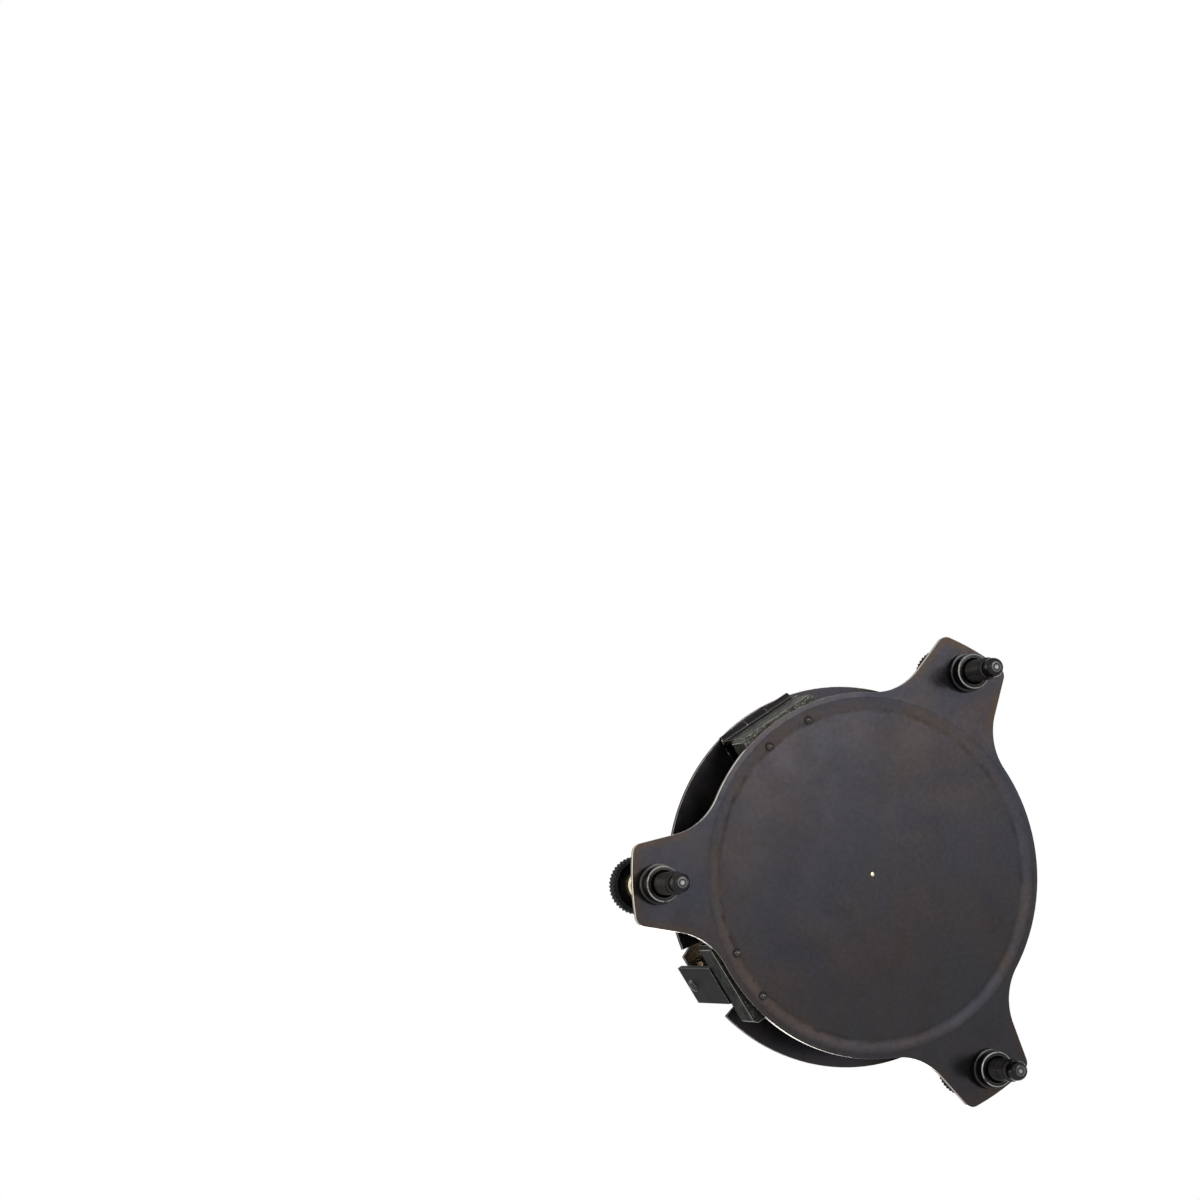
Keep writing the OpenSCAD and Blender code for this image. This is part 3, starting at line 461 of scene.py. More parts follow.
THREAD_DEPTH = 0.30 * MM
THREAD_FLANK = 1.25
THREAD_CREST_SHARE = 0.15
THREAD_RUN_IN = 0.8
THREAD_SIDES = 60
ROWS_PER_TURN = 8
THREAD_TOP = 9.0 * MM
CREST_WEAR = 0.5
STEM_CONE = 1.0 * MM
STEM_END_CHAMFER = 0.6 * MM
NECK_GAP = 0.7 * MM
NECK_RADIUS = 2.0 * MM
FLANGE_THICK = 2.4 * MM
BUSH_COLLAR = 5.5 * MM
BUSH_NECK = 4.8 * MM
BUSH_BORE = 3.54 * MM
BUSH_GROOVE = 0.22 * MM
TIP_FLAT = 1.5 * MM
TIP_SHOULDER = 0.6
TIP_STEPS = 10
KNURL_ROUND = 0.07 * MM
COLLAR_ROUND = 0.1 * MM


def patinated(name, base, warm, dirt, edge, rough, cloud,
              metallic=0.92, wear=1.0, grain=0.0, pit=0.5, pored=0.64):
    """Aged metal: cloudy patina, dirt in the pores, bright metal where edges are rubbed."""
    f = Finish(name, Metallic=metallic)
    clouds = f.noise(cloud, 4, 0.55).ramp(0.35, 0.68)
    blots = f.noise(cloud / 4, 4, 0.6).ramp(0.55, 0.78)
    pores = f.noise(0.45 * MM, 2, 0.5).ramp(pored, pored + 0.10)
    rub = f.worn() * f.noise(3.5 * MM, 3, 0.6).ramp(0.28, 0.50) * wear
    f.set("Specular Tint", GRAZING)
    colour = f.mix(clouds * 0.7, base, warm)
    colour = f.mix(blots * 0.4 + pores * pit, colour, dirt)
    f.set("Base Color", f.mix(rub, colour, edge))
    f.set("Roughness", clouds * (rough[1] - rough[0]) + rough[0] + pores * 0.12 - rub * 0.06)
    if grain:
        f.bump(f.noise(0.35 * MM, 3, 0.6), grain)
    return f


def lathe(name, profile, centre, sides=72, bored=False):
    """Closed solid turned about a vertical axis, from points (radius, height, wear) read upwards."""
    mesh = bpy.data.meshes.new(name)
    work = bmesh.new()
    wear = work.verts.layers.float.new("wear")
    rings = []
    for r, z, w in profile:
        ring = []
        for k in range(sides if r else 1):
            a = TURN * k / sides
            v = work.verts.new((centre.x + r * math.cos(a), centre.y + r * math.sin(a), z))
            v[wear] = w
            ring.append(v)
        rings.append(ring)
    for low, high in zip(rings, rings[1:] + rings[:bored]):
        for k in range(sides):
            n = (k + 1) % sides
            corners = [low[k % len(low)], low[n % len(low)], high[n % len(high)], high[k % len(high)]]
            work.faces.new(list(dict.fromkeys(corners)))
    for f in work.faces:
        f.smooth = True
    work.to_mesh(mesh)
    work.free()
    mesh.set_sharp_from_angle(angle=SHARP)
    return mesh


def threaded_stem(k):
    """Stem with a V thread of one start cut into it, from the cone at its end to below the head."""
    low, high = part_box("levelling_screw_%d" % k)
    centre = (low + high) / 2
    stem = (high.x - low.x) / 2
    cone_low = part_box("foot_tip_%d" % k)[1].z + NECK_GAP
    thread_low = cone_low + STEM_CONE
    thread_length = THREAD_TOP - thread_low
    rows = int(ROWS_PER_TURN * thread_length / THREAD_PITCH)
    profile = [(0, low.z, 0), (NECK_RADIUS, low.z, 0), (NECK_RADIUS, cone_low, 0)]
    profile += [(stem - STEM_END_CHAMFER, cone_low, 0.3)]
    profile += [(stem, thread_low + thread_length * i / rows, 0) for i in range(rows + 1)]
    profile += [(stem, high.z, 0), (0, high.z, 0)]
    mesh = lathe("threaded_stem_%d" % k, profile, centre, THREAD_SIDES)
    wear = mesh.attributes["wear"].data
    for v in mesh.vertices:
        if not thread_low - WELD < v.co.z < THREAD_TOP + WELD:
            continue
        x, y = v.co.x - centre.x, v.co.y - centre.y
        phase = (v.co.z / THREAD_PITCH - math.atan2(y, x) / TURN) % 1
        depth = min(1, max(0, THREAD_FLANK * (1 - abs(2 * phase - 1)) - THREAD_CREST_SHARE))
        run_in = (v.co.z - thread_low) / (THREAD_RUN_IN * THREAD_PITCH)
        run_out = (THREAD_TOP - v.co.z) / THREAD_PITCH
        cut = 1 - THREAD_DEPTH * depth * max(0, min(1, run_in, run_out)) / stem
        v.co.x, v.co.y = centre.x + x * cut, centre.y + y * cut
        wear[v.index].value = CREST_WEAR * max(0, 1 - 3 * depth)
    return mesh


def turned_bush(k):
    """Bush with a bead along its lower rim, a groove under the flange and a countersunk bore."""
    low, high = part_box("foot_bush_%d" % k)
    sheet_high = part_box("base_plate")[1].z
    flange = (high.x - low.x) / 2
    flange_low = sheet_low - FLANGE_THICK
    groove = BUSH_COLLAR - BUSH_GROOVE
    profile = [
        # Countersunk mouth of the bore.
        (BUSH_BORE, low.z + 0.8 * MM, 0), (BUSH_BORE + 0.76 * MM, low.z, 0.1),
        (BUSH_BORE + 0.95 * MM, low.z, 0), (BUSH_COLLAR - 0.45 * MM, low.z, 0),
        # Bead along the lower rim.
        (BUSH_COLLAR - 0.30 * MM, low.z + 0.03 * MM, 0.3),
        (BUSH_COLLAR - 0.12 * MM, low.z + 0.16 * MM, 1),
        (BUSH_COLLAR, low.z + 0.38 * MM, 0.3), (BUSH_COLLAR, low.z + 0.62 * MM, 0),
        # Groove under the flange.
        (BUSH_COLLAR, flange_low - 0.42 * MM, 0), (groove, flange_low - 0.28 * MM, 0),
        (groove, flange_low, 0),
        # Flange against the sheet.
        (flange - 0.32 * MM, flange_low, 0), (flange - 0.09 * MM, flange_low + 0.09 * MM, 0.10),
        (flange, flange_low + 0.32 * MM, 0), (flange, sheet_low - 0.12 * MM, 0),
        (flange - 0.12 * MM, sheet_low, 0),
        # Neck in the sheet's hole, and the collar above it.
        (BUSH_NECK, sheet_low, 0), (BUSH_NECK, sheet_high, 0), (BUSH_COLLAR - 0.1 * MM, sheet_high, 0),
        (BUSH_COLLAR, sheet_high + 0.1 * MM, 0), (BUSH_COLLAR, high.z - 0.25 * MM, 0),
        (BUSH_COLLAR - 0.07 * MM, high.z - 0.07 * MM, 0.8), (BUSH_COLLAR - 0.25 * MM, high.z, 0),
        (BUSH_BORE + 0.15 * MM, high.z, 0), (BUSH_BORE, high.z - 0.15 * MM, 0)]
    return lathe("turned_bush_%d" % k, profile, (low + high) / 2, bored=True)


def turned_tip(k):
    """Button with a pip and a ring turned in its flat foot, and a round shoulder above."""
    low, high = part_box("foot_tip_%d" % k)
    tip = (high.x - low.x) / 2
    shoulder = TIP_SHOULDER * (high.z - low.z)
    profile = [
        # Pip in the middle of the foot.
        (0, low.z + 0.22 * MM, 0.6), (0.16 * MM, low.z + 0.20 * MM, 0.6), (0.36 * MM, low.z, 1),
        (0.50 * MM, low.z, 0.3),
        # Ring turned round it.
        (1.00 * MM, low.z, 0), (1.06 * MM, low.z + 0.07 * MM, 0), (1.18 * MM, low.z + 0.07 * MM, 0),
        (1.24 * MM, low.z, 0.25), (TIP_FLAT, low.z, 0.1)]
    for step in range(1, TIP_STEPS + 1):
        a = TURN / 4 * step / TIP_STEPS
        r = TIP_FLAT + (tip - TIP_FLAT) * math.sin(a)
        profile.append((r, low.z + shoulder * (1 - math.cos(a)), 0))
    profile += [(tip, high.z - 0.4 * MM, 0), (tip - 0.1 * MM, high.z - 0.15 * MM, 0.7),
                (tip - 0.35 * MM, high.z, 0.3), (0, high.z, 0)]
    return lathe("turned_tip_%d" % k, profile, (low + high) / 2)


blacked = patinated("blacked_bronze", BLACK, BLACK_WARM, SOOT, STEEL, rough=(0.20, 0.34), cloud=6 * MM)
bush_finish = patinated("bush_black", BLACK, BLACK_WARM, SOOT, BUSH_EDGE,
                        rough=(0.20, 0.34), cloud=6 * MM, wear=0.5)
knurled = patinated("knurled_black", KNURL_BLACK, SOOT, SOOT, STEEL,
                    rough=(0.30, 0.44), cloud=5 * MM, wear=0.12)
bright = patinated("bright_brass", BRIGHT_BRASS, BRIGHT_WARM, BRIGHT_DIRT, PALE_BRASS,
                   rough=(0.16, 0.26), cloud=4 * MM, pit=0.15)
threaded = patinated("threaded_black", THREAD_BLACK, THREAD_WARM, SOOT, THREAD_CREST,
                     rough=(0.16, 0.26), cloud=5 * MM, wear=0.14)
for k in (1, 2, 3):
    instead_of("foot_bush_%d" % k, turned_bush(k), "turned_bush_%d" % k, bush_finish)
    dress("knurled_head_%d" % k, knurled, KNURL_ROUND)
    dress("screw_collar_%d" % k, bright, COLLAR_ROUND)
    instead_of("levelling_screw_%d" % k, threaded_stem(k), "threaded_stem_%d" % k, threaded)
    instead_of("foot_tip_%d" % k, turned_tip(k), "turned_tip_%d" % k, blacked)


# Blocks and screws
# Two blocks of cast bronze carry the ring's hinge and the arc's bracket. The north
# one is left grey-green and grainy from the mould, the east one is filed. Domed
# screws hold them from below.
CAST = (0.028, 0.030, 0.026)
CAST_DARK = (0.011, 0.012, 0.011)
CAST_FLECK = (0.230, 0.225, 0.185)
CAST_EDGE = (0.50, 0.48, 0.40)
CAST_GRAIN = 0.03 * MM
BLOCK_ROUND = 0.22 * MM
SCREW_DULL = (0.060, 0.060, 0.060)
SCREW_METAL = (0.30, 0.285, 0.26)
SCREW_WARM = (0.24, 0.21, 0.17)
SCREW_EDGE = (0.70, 0.68, 0.60)
SCREW_ROUND = 0.05 * MM

cast = patinated("cast_block", CAST, CAST_DARK, CAST_FLECK, CAST_EDGE, rough=(0.36, 0.52), cloud=3 * MM,
                 metallic=0.75, grain=CAST_GRAIN, pit=0.8, pored=0.56)
filed = patinated("filed_block", CAST_DARK, SOOT, CAST_FLECK, CAST_EDGE,
                  rough=(0.30, 0.46), cloud=3 * MM, grain=CAST_GRAIN)
dull = patinated("dull_screw", SCREW_DULL, BLACK_WARM, SOOT, STEEL, rough=(0.10, 0.16), cloud=2 * MM)
domed = patinated("domed_metal", SCREW_METAL, SCREW_WARM, SOOT, SCREW_EDGE,
                  rough=(0.18, 0.28), cloud=2 * MM)
dress("hinge_block", cast, BLOCK_ROUND)
dress("arc_block", filed, BLOCK_ROUND)
dress("block_screws", dull, SCREW_ROUND)


# Hinges and bracket
# Leaves and a bracket bent from sheet, smoother and blacker than the plate. The
# leaves turn on bright brass pins, and slotted screws and rivets hold them.
SHEET = (0.018, 0.0175, 0.020)
SHEET_WARM = (0.030, 0.026, 0.024)
PIN_ROUND = 0.05 * MM
SLOT_LENGTH = 6 * MM
SLOT_WIDTH = 0.35 * MM
SLOT_DEPTH = 0.40 * MM
SLOT_TURNS = {"hinge_base_screws": math.radians(37), "bracket_screws": math.radians(64)}


def slotted(node, turn):
    """Puts a copy in the place of a CAD node of upright screws, with a slot across each head."""
    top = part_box(node)[1].z
    cutter = bmesh.new()
    heads = bmesh.new()
    heads.from_mesh(frame["nodes"][node].data)
    blade = Matrix.Diagonal((SLOT_LENGTH, SLOT_WIDTH, 2 * SLOT_DEPTH, 1))
    for n, place in enumerate(crowns(node, top)):
        spin = Matrix.Translation((place.x, place.y, top)) @ Matrix.Rotation(turn * (n + 1), 4, "Z")
        bmesh.ops.create_cube(cutter, size=1, matrix=spin @ blade)
    objects = []
    for label, work in (("heads", heads), ("cutter", cutter)):
        mesh = bpy.data.meshes.new(label)
        work.to_mesh(mesh)
        work.free()
        objects.append(linked(label, mesh))
    objects[0].modifiers.new("slot", "BOOLEAN").object = objects[1]
    mesh = baked(objects[0])
    bpy.data.objects.remove(objects[1])
    mesh.shade_smooth()
    mesh.set_sharp_from_angle(angle=SHARP)
    instead_of(node, mesh, "slotted_" + node, domed)


sheet = patinated("dark_bronze", SHEET, SHEET_WARM, SOOT, PALE_BRASS, rough=(0.28, 0.42), cloud=12 * MM,
                  metallic=0.98, wear=0.8)
for node in ("ring_hinge_base", "ring_hinge_leaf", "arc_bracket", "arc_hinge_base", "arc_hinge_leaf"):
    dress(node, sheet)
for node in ("ring_hinge_pin", "arc_hinge_pin"):
    dress(node, bright, PIN_ROUND)
for node in ("ring_rivets", "arc_leaf_rivets"):
    dress(node, domed, SCREW_ROUND)
dress("arc_rivet", dull, SCREW_ROUND)
for node, turn in SLOT_TURNS.items():
    slotted(node, turn)


# Graduations
# Marks and figures are cut into the metal and filled with wax or silver. Here
# they are thin inlays that lie almost flush. Evenly spaced marks come from one
# Geometry Nodes group.
INLAY = 0.03 * MM
PROUD = 0.012 * MM
LINE_STEP = 0.5
LINE_OVERLAP = 1.02
FIGURE_EM = 1.4
WAX = (0.020, 0.018, 0.016)
WAX_WORN = (0.06, 0.05, 0.04)
SILVER = (0.70, 0.68, 0.62)
SILVER_DULL = (0.30, 0.28, 0.24)

wax = Finish("black_wax", Roughness=0.55)
wax_wear = wax.noise(1.5 * MM).ramp(0.4, 0.7) * 0.5
wax.set("Base Color", wax.mix(wax_wear, WAX, WAX_WORN))
pale = Finish("silver_filling", Metallic=0.7, Roughness=0.35)
silver_wear = pale.noise(2 * MM).ramp(0.45, 0.75) * 0.6
pale.set("Base Color", pale.mix(silver_wear, SILVER, SILVER_DULL))

marks = Net(bpy.data.node_groups.new("marks_on_arc", "GeometryNodeTree"))
MARK_INPUTS = {"Count": "Int", "First Angle": "Float", "Step Angle": "Float", "Radius": "Float",
               "Length": "Float", "Width": "Float", "Thickness": "Float", "Material": "Material"}
mark_sockets = {}
for name, kind in MARK_INPUTS.items():
    mark_sockets[name] = marks.tree.interface.new_socket(
        name=name, in_out="INPUT", socket_type="NodeSocket" + kind)
marks.tree.interface.new_socket(name="Marks", in_out="OUTPUT", socket_type="NodeSocketGeometry")
given = dict(zip(MARK_INPUTS, marks.add("NodeGroupInput", {}, {})))
mark_angle = given["First Angle"] + marks.add("GeometryNodeInputIndex", {}, {})[0] * given["Step Angle"]
mark_spot = marks.add("ShaderNodeCombineXYZ", {}, {
    0: mark_angle.cos() * given["Radius"], 1: mark_angle.sin() * given["Radius"]})[0]
mark_bar = marks.add("GeometryNodeMeshCube", {}, {"Size": marks.add("ShaderNodeCombineXYZ", {}, {
    0: given["Length"], 1: given["Width"], 2: given["Thickness"]})[0]})[0]
mark_set = marks.add("GeometryNodeInstanceOnPoints", {}, {
    "Points": marks.add("GeometryNodePoints", {}, {"Count": given["Count"], "Position": mark_spot})[0],
    "Instance": mark_bar,
    "Rotation": marks.add("ShaderNodeCombineXYZ", {}, {2: mark_angle})[0]})[0]
marks.add("NodeGroupOutput", {}, {0: marks.add("GeometryNodeSetMaterial", {}, {
    "Geometry": marks.add("GeometryNodeRealizeInstances", {}, {"Geometry": mark_set})[0],
    "Material": given["Material"]})[0]})


def marks_on_arc(first, last, step, radius, length, width):
    """Mesh of flat bars in the plane z = 0, every step degrees from first up to last."""
    values = {"Count": int((last - first) // step) + 1, "First Angle": math.radians(first),
              "Step Angle": math.radians(step), "Radius": radius, "Length": length, "Width": width,
              "Thickness": INLAY, "Material": wax.material}
    holder = linked("marks", bpy.data.meshes.new("marks"))
    maker = holder.modifiers.new("marks", "NODES")
    maker.node_group = marks.tree
    for name, value in values.items():
        maker[mark_sockets[name].identifier] = value
    return baked(holder)


def fine_line(first, last, radius, width=0.10 * MM):
    """Mesh of a thin line along an arc, as short bars that meet."""
    bar = radius * math.radians(LINE_STEP) * LINE_OVERLAP
    return marks_on_arc(first, last, LINE_STEP, radius, width, bar)


def figure(text, height):
    """Mesh of a plain figure or letter, centred on the origin and as thin as an inlay."""
    writing = bpy.data.curves.new("figure", "FONT")
    writing.body = text
    writing.size = height * FIGURE_EM
    writing.align_x = "CENTER"
    writing.align_y = "CENTER"
    writing.extrude = INLAY / 2
    writing.resolution_u = 4
    return baked(linked("figure", writing))


# Strokes of the Roman figures in a letter of height 1: (x, y) to (x, y) and the width of the cut.
STEM, HAIRLINE, SERIF = 0.15, 0.06, 0.05
ROMAN = {
    "I": {"advance": 0.42, "strokes": [((0.21, 0), (0.21, 1), STEM),
                                       ((0.06, 0), (0.36, 0), SERIF), ((0.06, 1), (0.36, 1), SERIF)]},
    "V": {"advance": 0.86, "strokes": [((0.12, 1), (0.43, 0), STEM), ((0.74, 1), (0.43, 0), HAIRLINE),
                                       ((0.00, 1), (0.26, 1), SERIF), ((0.62, 1), (0.86, 1), SERIF)]},
    "X": {"advance": 0.84, "strokes": [((0.12, 1), (0.72, 0), STEM), ((0.70, 1), (0.14, 0), HAIRLINE),
                                       ((0.00, 1), (0.26, 1), SERIF), ((0.58, 1), (0.82, 1), SERIF),
                                       ((0.02, 0), (0.26, 0), SERIF), ((0.60, 0), (0.84, 0), SERIF)]},
}


def roman(text, height):
    """Mesh of a Roman figure with broad and fine strokes, centred on the origin."""
    work = bmesh.new()
    start = -sum(ROMAN[letter]["advance"] for letter in text) / 2
    for letter in text:
        for (x1, y1), (x2, y2), width in ROMAN[letter]["strokes"]:
            a = Vector((start + x1, y1 - 0.5, 0)) * height
            b = Vector((start + x2, y2 - 0.5, 0)) * height
            spin = Matrix.Rotation(math.atan2(b.y - a.y, b.x - a.x), 4, "Z")
            shape = Matrix.Diagonal(((b - a).length, width * height, INLAY, 1))
            bmesh.ops.create_cube(work, size=1, matrix=Matrix.Translation((a + b) / 2) @ spin @ shape)
        start += ROMAN[letter]["advance"]
    mesh = bpy.data.meshes.new("roman")
    work.to_mesh(mesh)
    work.free()
    return mesh


def on_circle(mesh, radius, degrees):
    """Sets a figure on a circle with its foot towards the centre."""
    a = math.radians(degrees)
    spot = Matrix.Translation((radius * math.cos(a), radius * math.sin(a), 0))
    mesh.transform(spot @ Matrix.Rotation(a - TURN / 4, 4, "Z"))
    return mesh


def engrave(name, parts, material, body, x, y, face):
    """Joins marks drawn about the origin into one piece, laid about (x, y) in the level face."""
    work = bmesh.new()
    for mesh in parts:
        work.from_mesh(mesh)
        bpy.data.meshes.remove(mesh)
    joined = bpy.data.meshes.new(name)
    work.to_mesh(joined)
    work.free()
    joined.transform(Matrix.Translation((x, y, face + PROUD - INLAY / 2)))
    return as_piece(joined, name, material, body)


# Hour ring
# Equatorial dial: the noon mark is at the hinge, each hour takes 15 degrees,
# and the forenoon runs down the west side. The evening hours at the ring's
# opening are left out. Marks stand every five minutes along the outer edge.
HOURS = {4: "IIII", 5: "V", 6: "VI", 7: "VII", 8: "VIII", 9: "IX", 10: "X", 11: "XI", 12: "XII",
         13: "I", 14: "II", 15: "III", 16: "IIII", 17: "V", 20: "VIII"}
HOUR_ANGLE = 15
NORTH = 90
HOUR_HEIGHT = 3.4 * MM
HOUR_RADIUS = 55.2 * MM
DIAL_MARKS = [
    {"step": HOUR_ANGLE / 12, "radius": 59.2 * MM, "length": 0.9 * MM, "width": 0.10 * MM},
    {"step": HOUR_ANGLE / 4, "radius": 58.9 * MM, "length": 1.5 * MM, "width": 0.14 * MM},
    {"step": HOUR_ANGLE, "radius": 58.5 * MM, "length": 2.2 * MM, "width": 0.20 * MM}]
DIAL_LINES = (59.7 * MM, 58.1 * MM, 52.6 * MM)
DIAL_SPANS = [{"marks": (15, 210), "lines": (11.5, 212)}, {"marks": (-30, -17.5), "lines": (-32, -15.5)}]
RING = (0.034, 0.032, 0.038)
RING_WARM = (0.048, 0.039, 0.036)
RING_ROUND = 0.14 * MM

ring_finish = patinated("ring_bronze", RING, RING_WARM, SOOT, PALE_BRASS, rough=(0.26, 0.38), cloud=14 * MM)
dress("hour_ring", ring_finish, RING_ROUND)
dial = []
for span in DIAL_SPANS:
    for mark in DIAL_MARKS:
        dial.append(marks_on_arc(*span["marks"], **mark))
    for line_radius in DIAL_LINES:
        dial.append(fine_line(*span["lines"], line_radius))
for hour, letters in HOURS.items():
    dial.append(on_circle(roman(letters, HOUR_HEIGHT), HOUR_RADIUS, NORTH + HOUR_ANGLE * (12 - hour)))
engrave("hour_figures", dial, pale.material, "hour_ring_frame",
        0, 0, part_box("hour_ring")[1].z)


# Gnomon
# A turned rod of plain aged brass that throws the shadow. It folds flat on a pin
# in a dark bar, which is riveted across the middle of the hour ring.
AGED = (0.44, 0.335, 0.165)
AGED_DARK = (0.32, 0.235, 0.115)
AGED_DIRT = (0.085, 0.060, 0.035)
AGED_EDGE = (0.82, 0.70, 0.44)
AGED_ROUND = 0.1 * MM

aged = patinated("aged_brass", AGED, AGED_DARK, AGED_DIRT, AGED_EDGE, rough=(0.22, 0.36), cloud=9 * MM)
dress("gnomon_bar", sheet)
dress("gnomon", aged, AGED_ROUND)
for node in ("bar_rivets", "gnomon_pin"):
    dress(node, domed, SCREW_ROUND)


# Latitude arc
# A plain arc of the same sheet. Its degrees run with the ring's tilt: where the
# ring meets it at a degrees from level, the dial is set for latitude 90 - a.
# Folded, the arc lies level, and a degrees up the arc is 270 - a in the plan.
AXIS = {j["name"]: Vector(j["pos_m"]) for j in frame["record"]["behaviour"]["joints"] if "pos_m" in j}
SCALE_FROM, SCALE_TO = 25, 74
SCALE_ZERO = 270
ARC_INNER, ARC_OUTER = 57.0 * MM, 68.0 * MM
MARKS_IN = 0.7 * MM
SCALE_MARKS = [
    {"step": 1, "length": 1.6 * MM, "width": 0.10 * MM},
    {"step": 5, "length": 2.4 * MM, "width": 0.13 * MM},
    {"step": 10, "length": 3.2 * MM, "width": 0.17 * MM}]
SCALE_LINES = (ARC_INNER + 0.6 * MM, ARC_OUTER - 0.9 * MM)
LATITUDE_HEIGHT = 2.2 * MM
LATITUDE_RADIUS = ARC_INNER + 6.6 * MM
ARC = (0.070, 0.066, 0.070)
ARC_WARM = (0.085, 0.070, 0.062)

arc_finish = patinated("arc_bronze", ARC, ARC_WARM, SOOT, PALE_BRASS, rough=(0.26, 0.38), cloud=12 * MM)
dress("latitude_arc", arc_finish, RING_ROUND)
ring_axis = AXIS["hour_ring_lift"]
fold_axis = AXIS["latitude_arc_fold"]
scale_parts = []
for mark in SCALE_MARKS:
    first = SCALE_ZERO - SCALE_TO // mark["step"] * mark["step"]
    mark_radius = ARC_INNER + MARKS_IN + mark["length"] / 2
    scale_parts.append(marks_on_arc(first, SCALE_ZERO - SCALE_FROM, radius=mark_radius, **mark))
for degree in range(30, SCALE_TO, 10):
    latitude = figure(str(90 - degree), LATITUDE_HEIGHT)
    scale_parts.append(on_circle(latitude, LATITUDE_RADIUS, SCALE_ZERO - degree))
for line_radius in SCALE_LINES:
    line_from, line_to = SCALE_ZERO - SCALE_TO - LINE_STEP, SCALE_ZERO - SCALE_FROM + 2 * LINE_STEP
    scale_parts.append(fine_line(line_from, line_to, line_radius))
engrave("latitude_figures", scale_parts, pale.material, "latitude_scale",
        fold_axis.x + fold_axis.z - ring_axis.z, ring_axis.y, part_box("latitude_arc")[1].z)


# Compass
# A dark bowl holds a paper card with an eight-point rose, a silvered degree ring
# numbered every thirty degrees, and a steel needle blued on its north half. A
# brass bezel holds the glass over them.
CARD = (0.62, 0.56, 0.42)
CARD_STAIN = (0.50, 0.41, 0.26)
CARD_ROUND = 0.05 * MM
INK_RED = (0.28, 0.05, 0.03)
SILVERED = (0.60, 0.58, 0.51)
SILVERED_WARM = (0.47, 0.43, 0.34)
SILVERED_DIRT = (0.22, 0.18, 0.12)
BLUED = (0.020, 0.035, 0.110)
BLUED_VIOLET = (0.045, 0.040, 0.100)
NEEDLE_STEEL = (0.55, 0.55, 0.56)
NEEDLE_GREY = (0.42, 0.41, 0.40)
NEEDLE_ROUND = 0.08 * MM
WINDOW_TINT = (0.97, 0.99, 0.98)
WINDOW_SMEAR = 0.012
GLASS_DULLING = 0.94
GLASS_ROUND = 0.1 * MM
ROSE_ROOT = 4.6 * MM
ROSE = [{"reach": 21.0 * MM, "first": 0}, {"reach": 15.0 * MM, "first": 45}]
ROSE_VALLEY = 22.5
QUARTERS = {"N": 90, "E": 0, "S": -90, "W": 180}
QUARTER_HEIGHT = 4.4 * MM
QUARTER_RADIUS = 26.5 * MM
CARD_LINES = (31.5 * MM, 32.4 * MM)
CARD_LINE_WIDTH = 0.14 * MM
CARD_MARKS = {"step": 11.25, "radius": 34.0 * MM, "length": 2.6 * MM, "width": 0.14 * MM}
DEGREE_MARKS = [
    {"step": 1, "radius": 40.75 * MM, "length": 0.7 * MM, "width": 0.12 * MM},
    {"step": 5, "radius": 40.55 * MM, "length": 1.1 * MM, "width": 0.17 * MM},
    {"step": 10, "radius": 40.40 * MM, "length": 1.4 * MM, "width": 0.22 * MM}]
DEGREE_HEIGHT = 1.15 * MM
DEGREE_RADIUS = 38.95 * MM

silvered = patinated("silvered_brass", SILVERED, SILVERED_WARM, SILVERED_DIRT, PALE_BRASS,
                     rough=(0.30, 0.42), cloud=7 * MM, pit=0.2)
dress("compass_bowl", sheet)
dress("bezel_ring", aged, AGED_ROUND)
dress("degree_ring", silvered, AGED_ROUND)

card = Finish("card_face", Roughness=0.65)
foxing = card.noise(6 * MM, 5, 0.6).ramp(0.56, 0.80)
card_x, card_y = card.xyz()[:2]
toning = card_x.distance(card_y).ramp(22 * MM, 42 * MM)
card.set("Base Color", card.mix(foxing * 0.4 + toning * 0.35, CARD, CARD_STAIN))
card.bump(card.noise(0.3 * MM, 3, 0.6), 0.01 * MM)
dress("compass_card", card, CARD_ROUND)

ink_red = Finish("red_ink", Roughness=0.6)
ink_wear = ink_red.noise(1.2 * MM).ramp(0.4, 0.7) * 0.4
ink_red.set("Base Color", ink_red.mix(ink_wear, INK_RED, CARD_STAIN))
card_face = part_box("compass_card")[1].z


def rose_half(reach, degrees, side):
    """One half of a rose point: a flat triangle from the centre to the tip and the valley beside it."""
    a = math.radians(degrees)
    b = math.radians(degrees + side * ROSE_VALLEY)
    corners = [Vector((0, 0)), Vector((math.cos(a), math.sin(a))) * reach,
               Vector((math.cos(b), math.sin(b))) * ROSE_ROOT]
    if side < 0:
        corners.reverse()
    mesh = bpy.data.meshes.new("rose")
    verts = [(c.x, c.y, z) for z in (-INLAY / 2, INLAY / 2) for c in corners]
    mesh.from_pydata(verts, [], [(2, 1, 0), (3, 4, 5), (0, 1, 4, 3), (1, 2, 5, 4), (2, 0, 3, 5)])
    return mesh


rose = {-1: [], 1: []}
for points in ROSE:
    for quarter in range(4):
        for side in (-1, 1):
            rose[side].append(rose_half(points["reach"], points["first"] + 90 * quarter, side))
for letter, degrees in QUARTERS.items():
    rose[1].append(on_circle(figure(letter, QUARTER_HEIGHT), QUARTER_RADIUS, degrees))
for line_radius in CARD_LINES:
    rose[1].append(fine_line(0, 360 - LINE_STEP, line_radius, CARD_LINE_WIDTH))
rose[1].append(marks_on_arc(0, 360 - CARD_MARKS["step"], **CARD_MARKS))
engrave("rose_black", rose[1], wax.material, "base", 0, 0, card_face)
engrave("rose_red", rose[-1], ink_red.material, "base", 0, 0, card_face)

degree_marks = [marks_on_arc(0, 360 - mark["step"], **mark) for mark in DEGREE_MARKS]
for degree in range(0, 360, 30):
    degree_marks.append(on_circle(figure(str(degree), DEGREE_HEIGHT), DEGREE_RADIUS, NORTH - degree))
engrave("degree_figures", degree_marks, wax.material, "base",
        0, 0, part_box("degree_ring")[1].z)

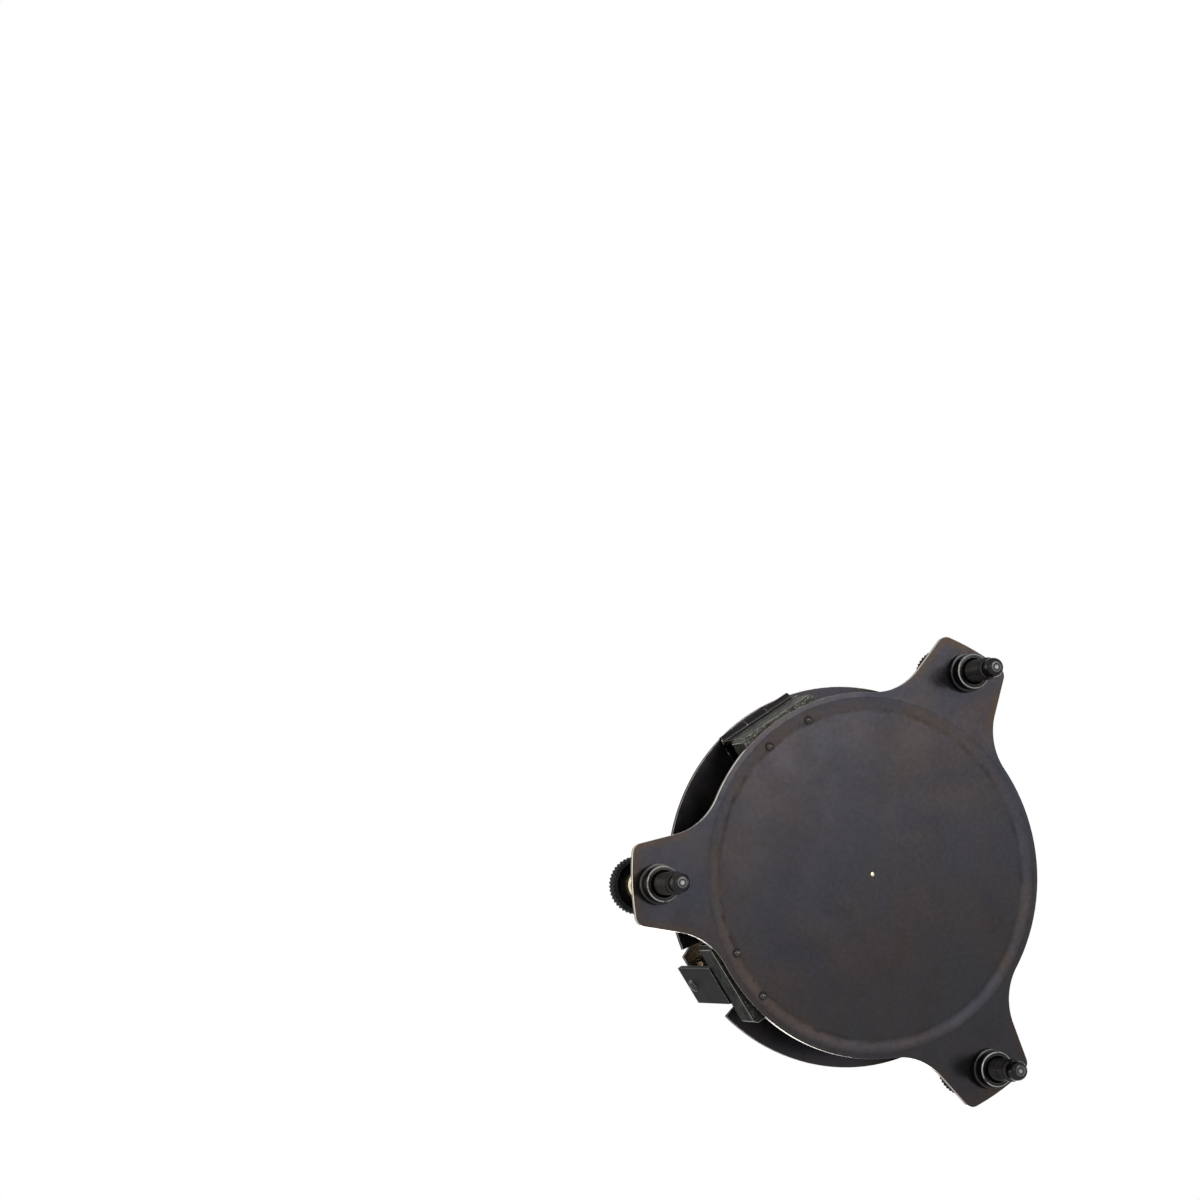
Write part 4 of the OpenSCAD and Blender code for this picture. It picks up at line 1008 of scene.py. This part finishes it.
needle = Finish("needle_steel", Metallic=1.0)
needle_y = needle.xyz()[1]
needle_cloud = needle.noise(5 * MM, 3, 0.5).ramp(0.4, 0.7)
blue = needle.mix(needle_cloud, BLUED, BLUED_VIOLET)
steel = needle.mix(needle_cloud, NEEDLE_STEEL, NEEDLE_GREY)
needle.set("Base Color", needle.mix(needle_y.ramp(-0.1 * MM, 0.1 * MM), steel, blue))
needle.set("Roughness", needle_cloud * 0.08 + 0.18)
dress("compass_needle", needle, NEEDLE_ROUND)
for node in ("needle_pivot", "needle_cap"):
    dress(node, bright, NEEDLE_ROUND)


def clear_glass(name, tint, smear):
    """Clear glass with faint smears on its surface."""
    f = Finish(name, Transmission_Weight=1.0, IOR=1.45)
    smears = f.noise(14 * MM, 4, 0.6).ramp(0.5, 0.8)
    f.set("Base Color", f.mix(smears * 0.5, tint, tuple(GLASS_DULLING * c for c in tint)))
    f.set("Roughness", smears * smear)
    return f


window = clear_glass("clear_glass", WINDOW_TINT, WINDOW_SMEAR)
dress("compass_glass", window, GLASS_ROUND).visible_shadow = False


# Spirit levels
# Two sealed glass vials lie crosswise, south and west of the compass, each in a
# housing of aged brass. Each has a bubble resting against its top.
VIAL_TINT = (0.80, 0.92, 0.42)
VIAL_SMEAR = 0.02
AIR_PALE = (0.90, 0.95, 0.62)
AIR_DEEP = (0.82, 0.90, 0.50)
BUBBLE = (6.2 * MM, 2.6 * MM, 1.0 * MM)
BUBBLE_DEPTH = 0.85 * MM

vial = clear_glass("vial_glass", VIAL_TINT, VIAL_SMEAR)
air_bubble = Finish("air_bubble", Roughness=0.05)
air_cloud = air_bubble.noise(2 * MM).ramp(0.3, 0.7)
air_bubble.set("Base Color", air_bubble.mix(air_cloud, AIR_PALE, AIR_DEEP))
for side, turn in (("south", 0), ("west", math.pi / 2)):
    dress(side + "_level_housing", aged, AGED_ROUND)
    dress(side + "_level_vial", vial, GLASS_ROUND).visible_shadow = False
    vial_low, vial_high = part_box(side + "_level_vial")
    middle = (vial_low + vial_high) / 2
    vial_radius = (vial_high.z - vial_low.z) / 2
    work = bmesh.new()
    shape = Matrix.Rotation(turn, 4, "Z") @ Matrix.Diagonal((*BUBBLE, 1))
    place = Matrix.Translation(middle + Vector((0, 0, vial_radius - BUBBLE_DEPTH)))
    bmesh.ops.create_uvsphere(work, u_segments=32, v_segments=16, radius=0.5, matrix=place @ shape)
    for f in work.faces:
        f.smooth = True
    mesh = bpy.data.meshes.new(side + "_bubble")
    work.to_mesh(mesh)
    work.free()
    as_piece(mesh, side + "_bubble", air_bubble.material, "base")
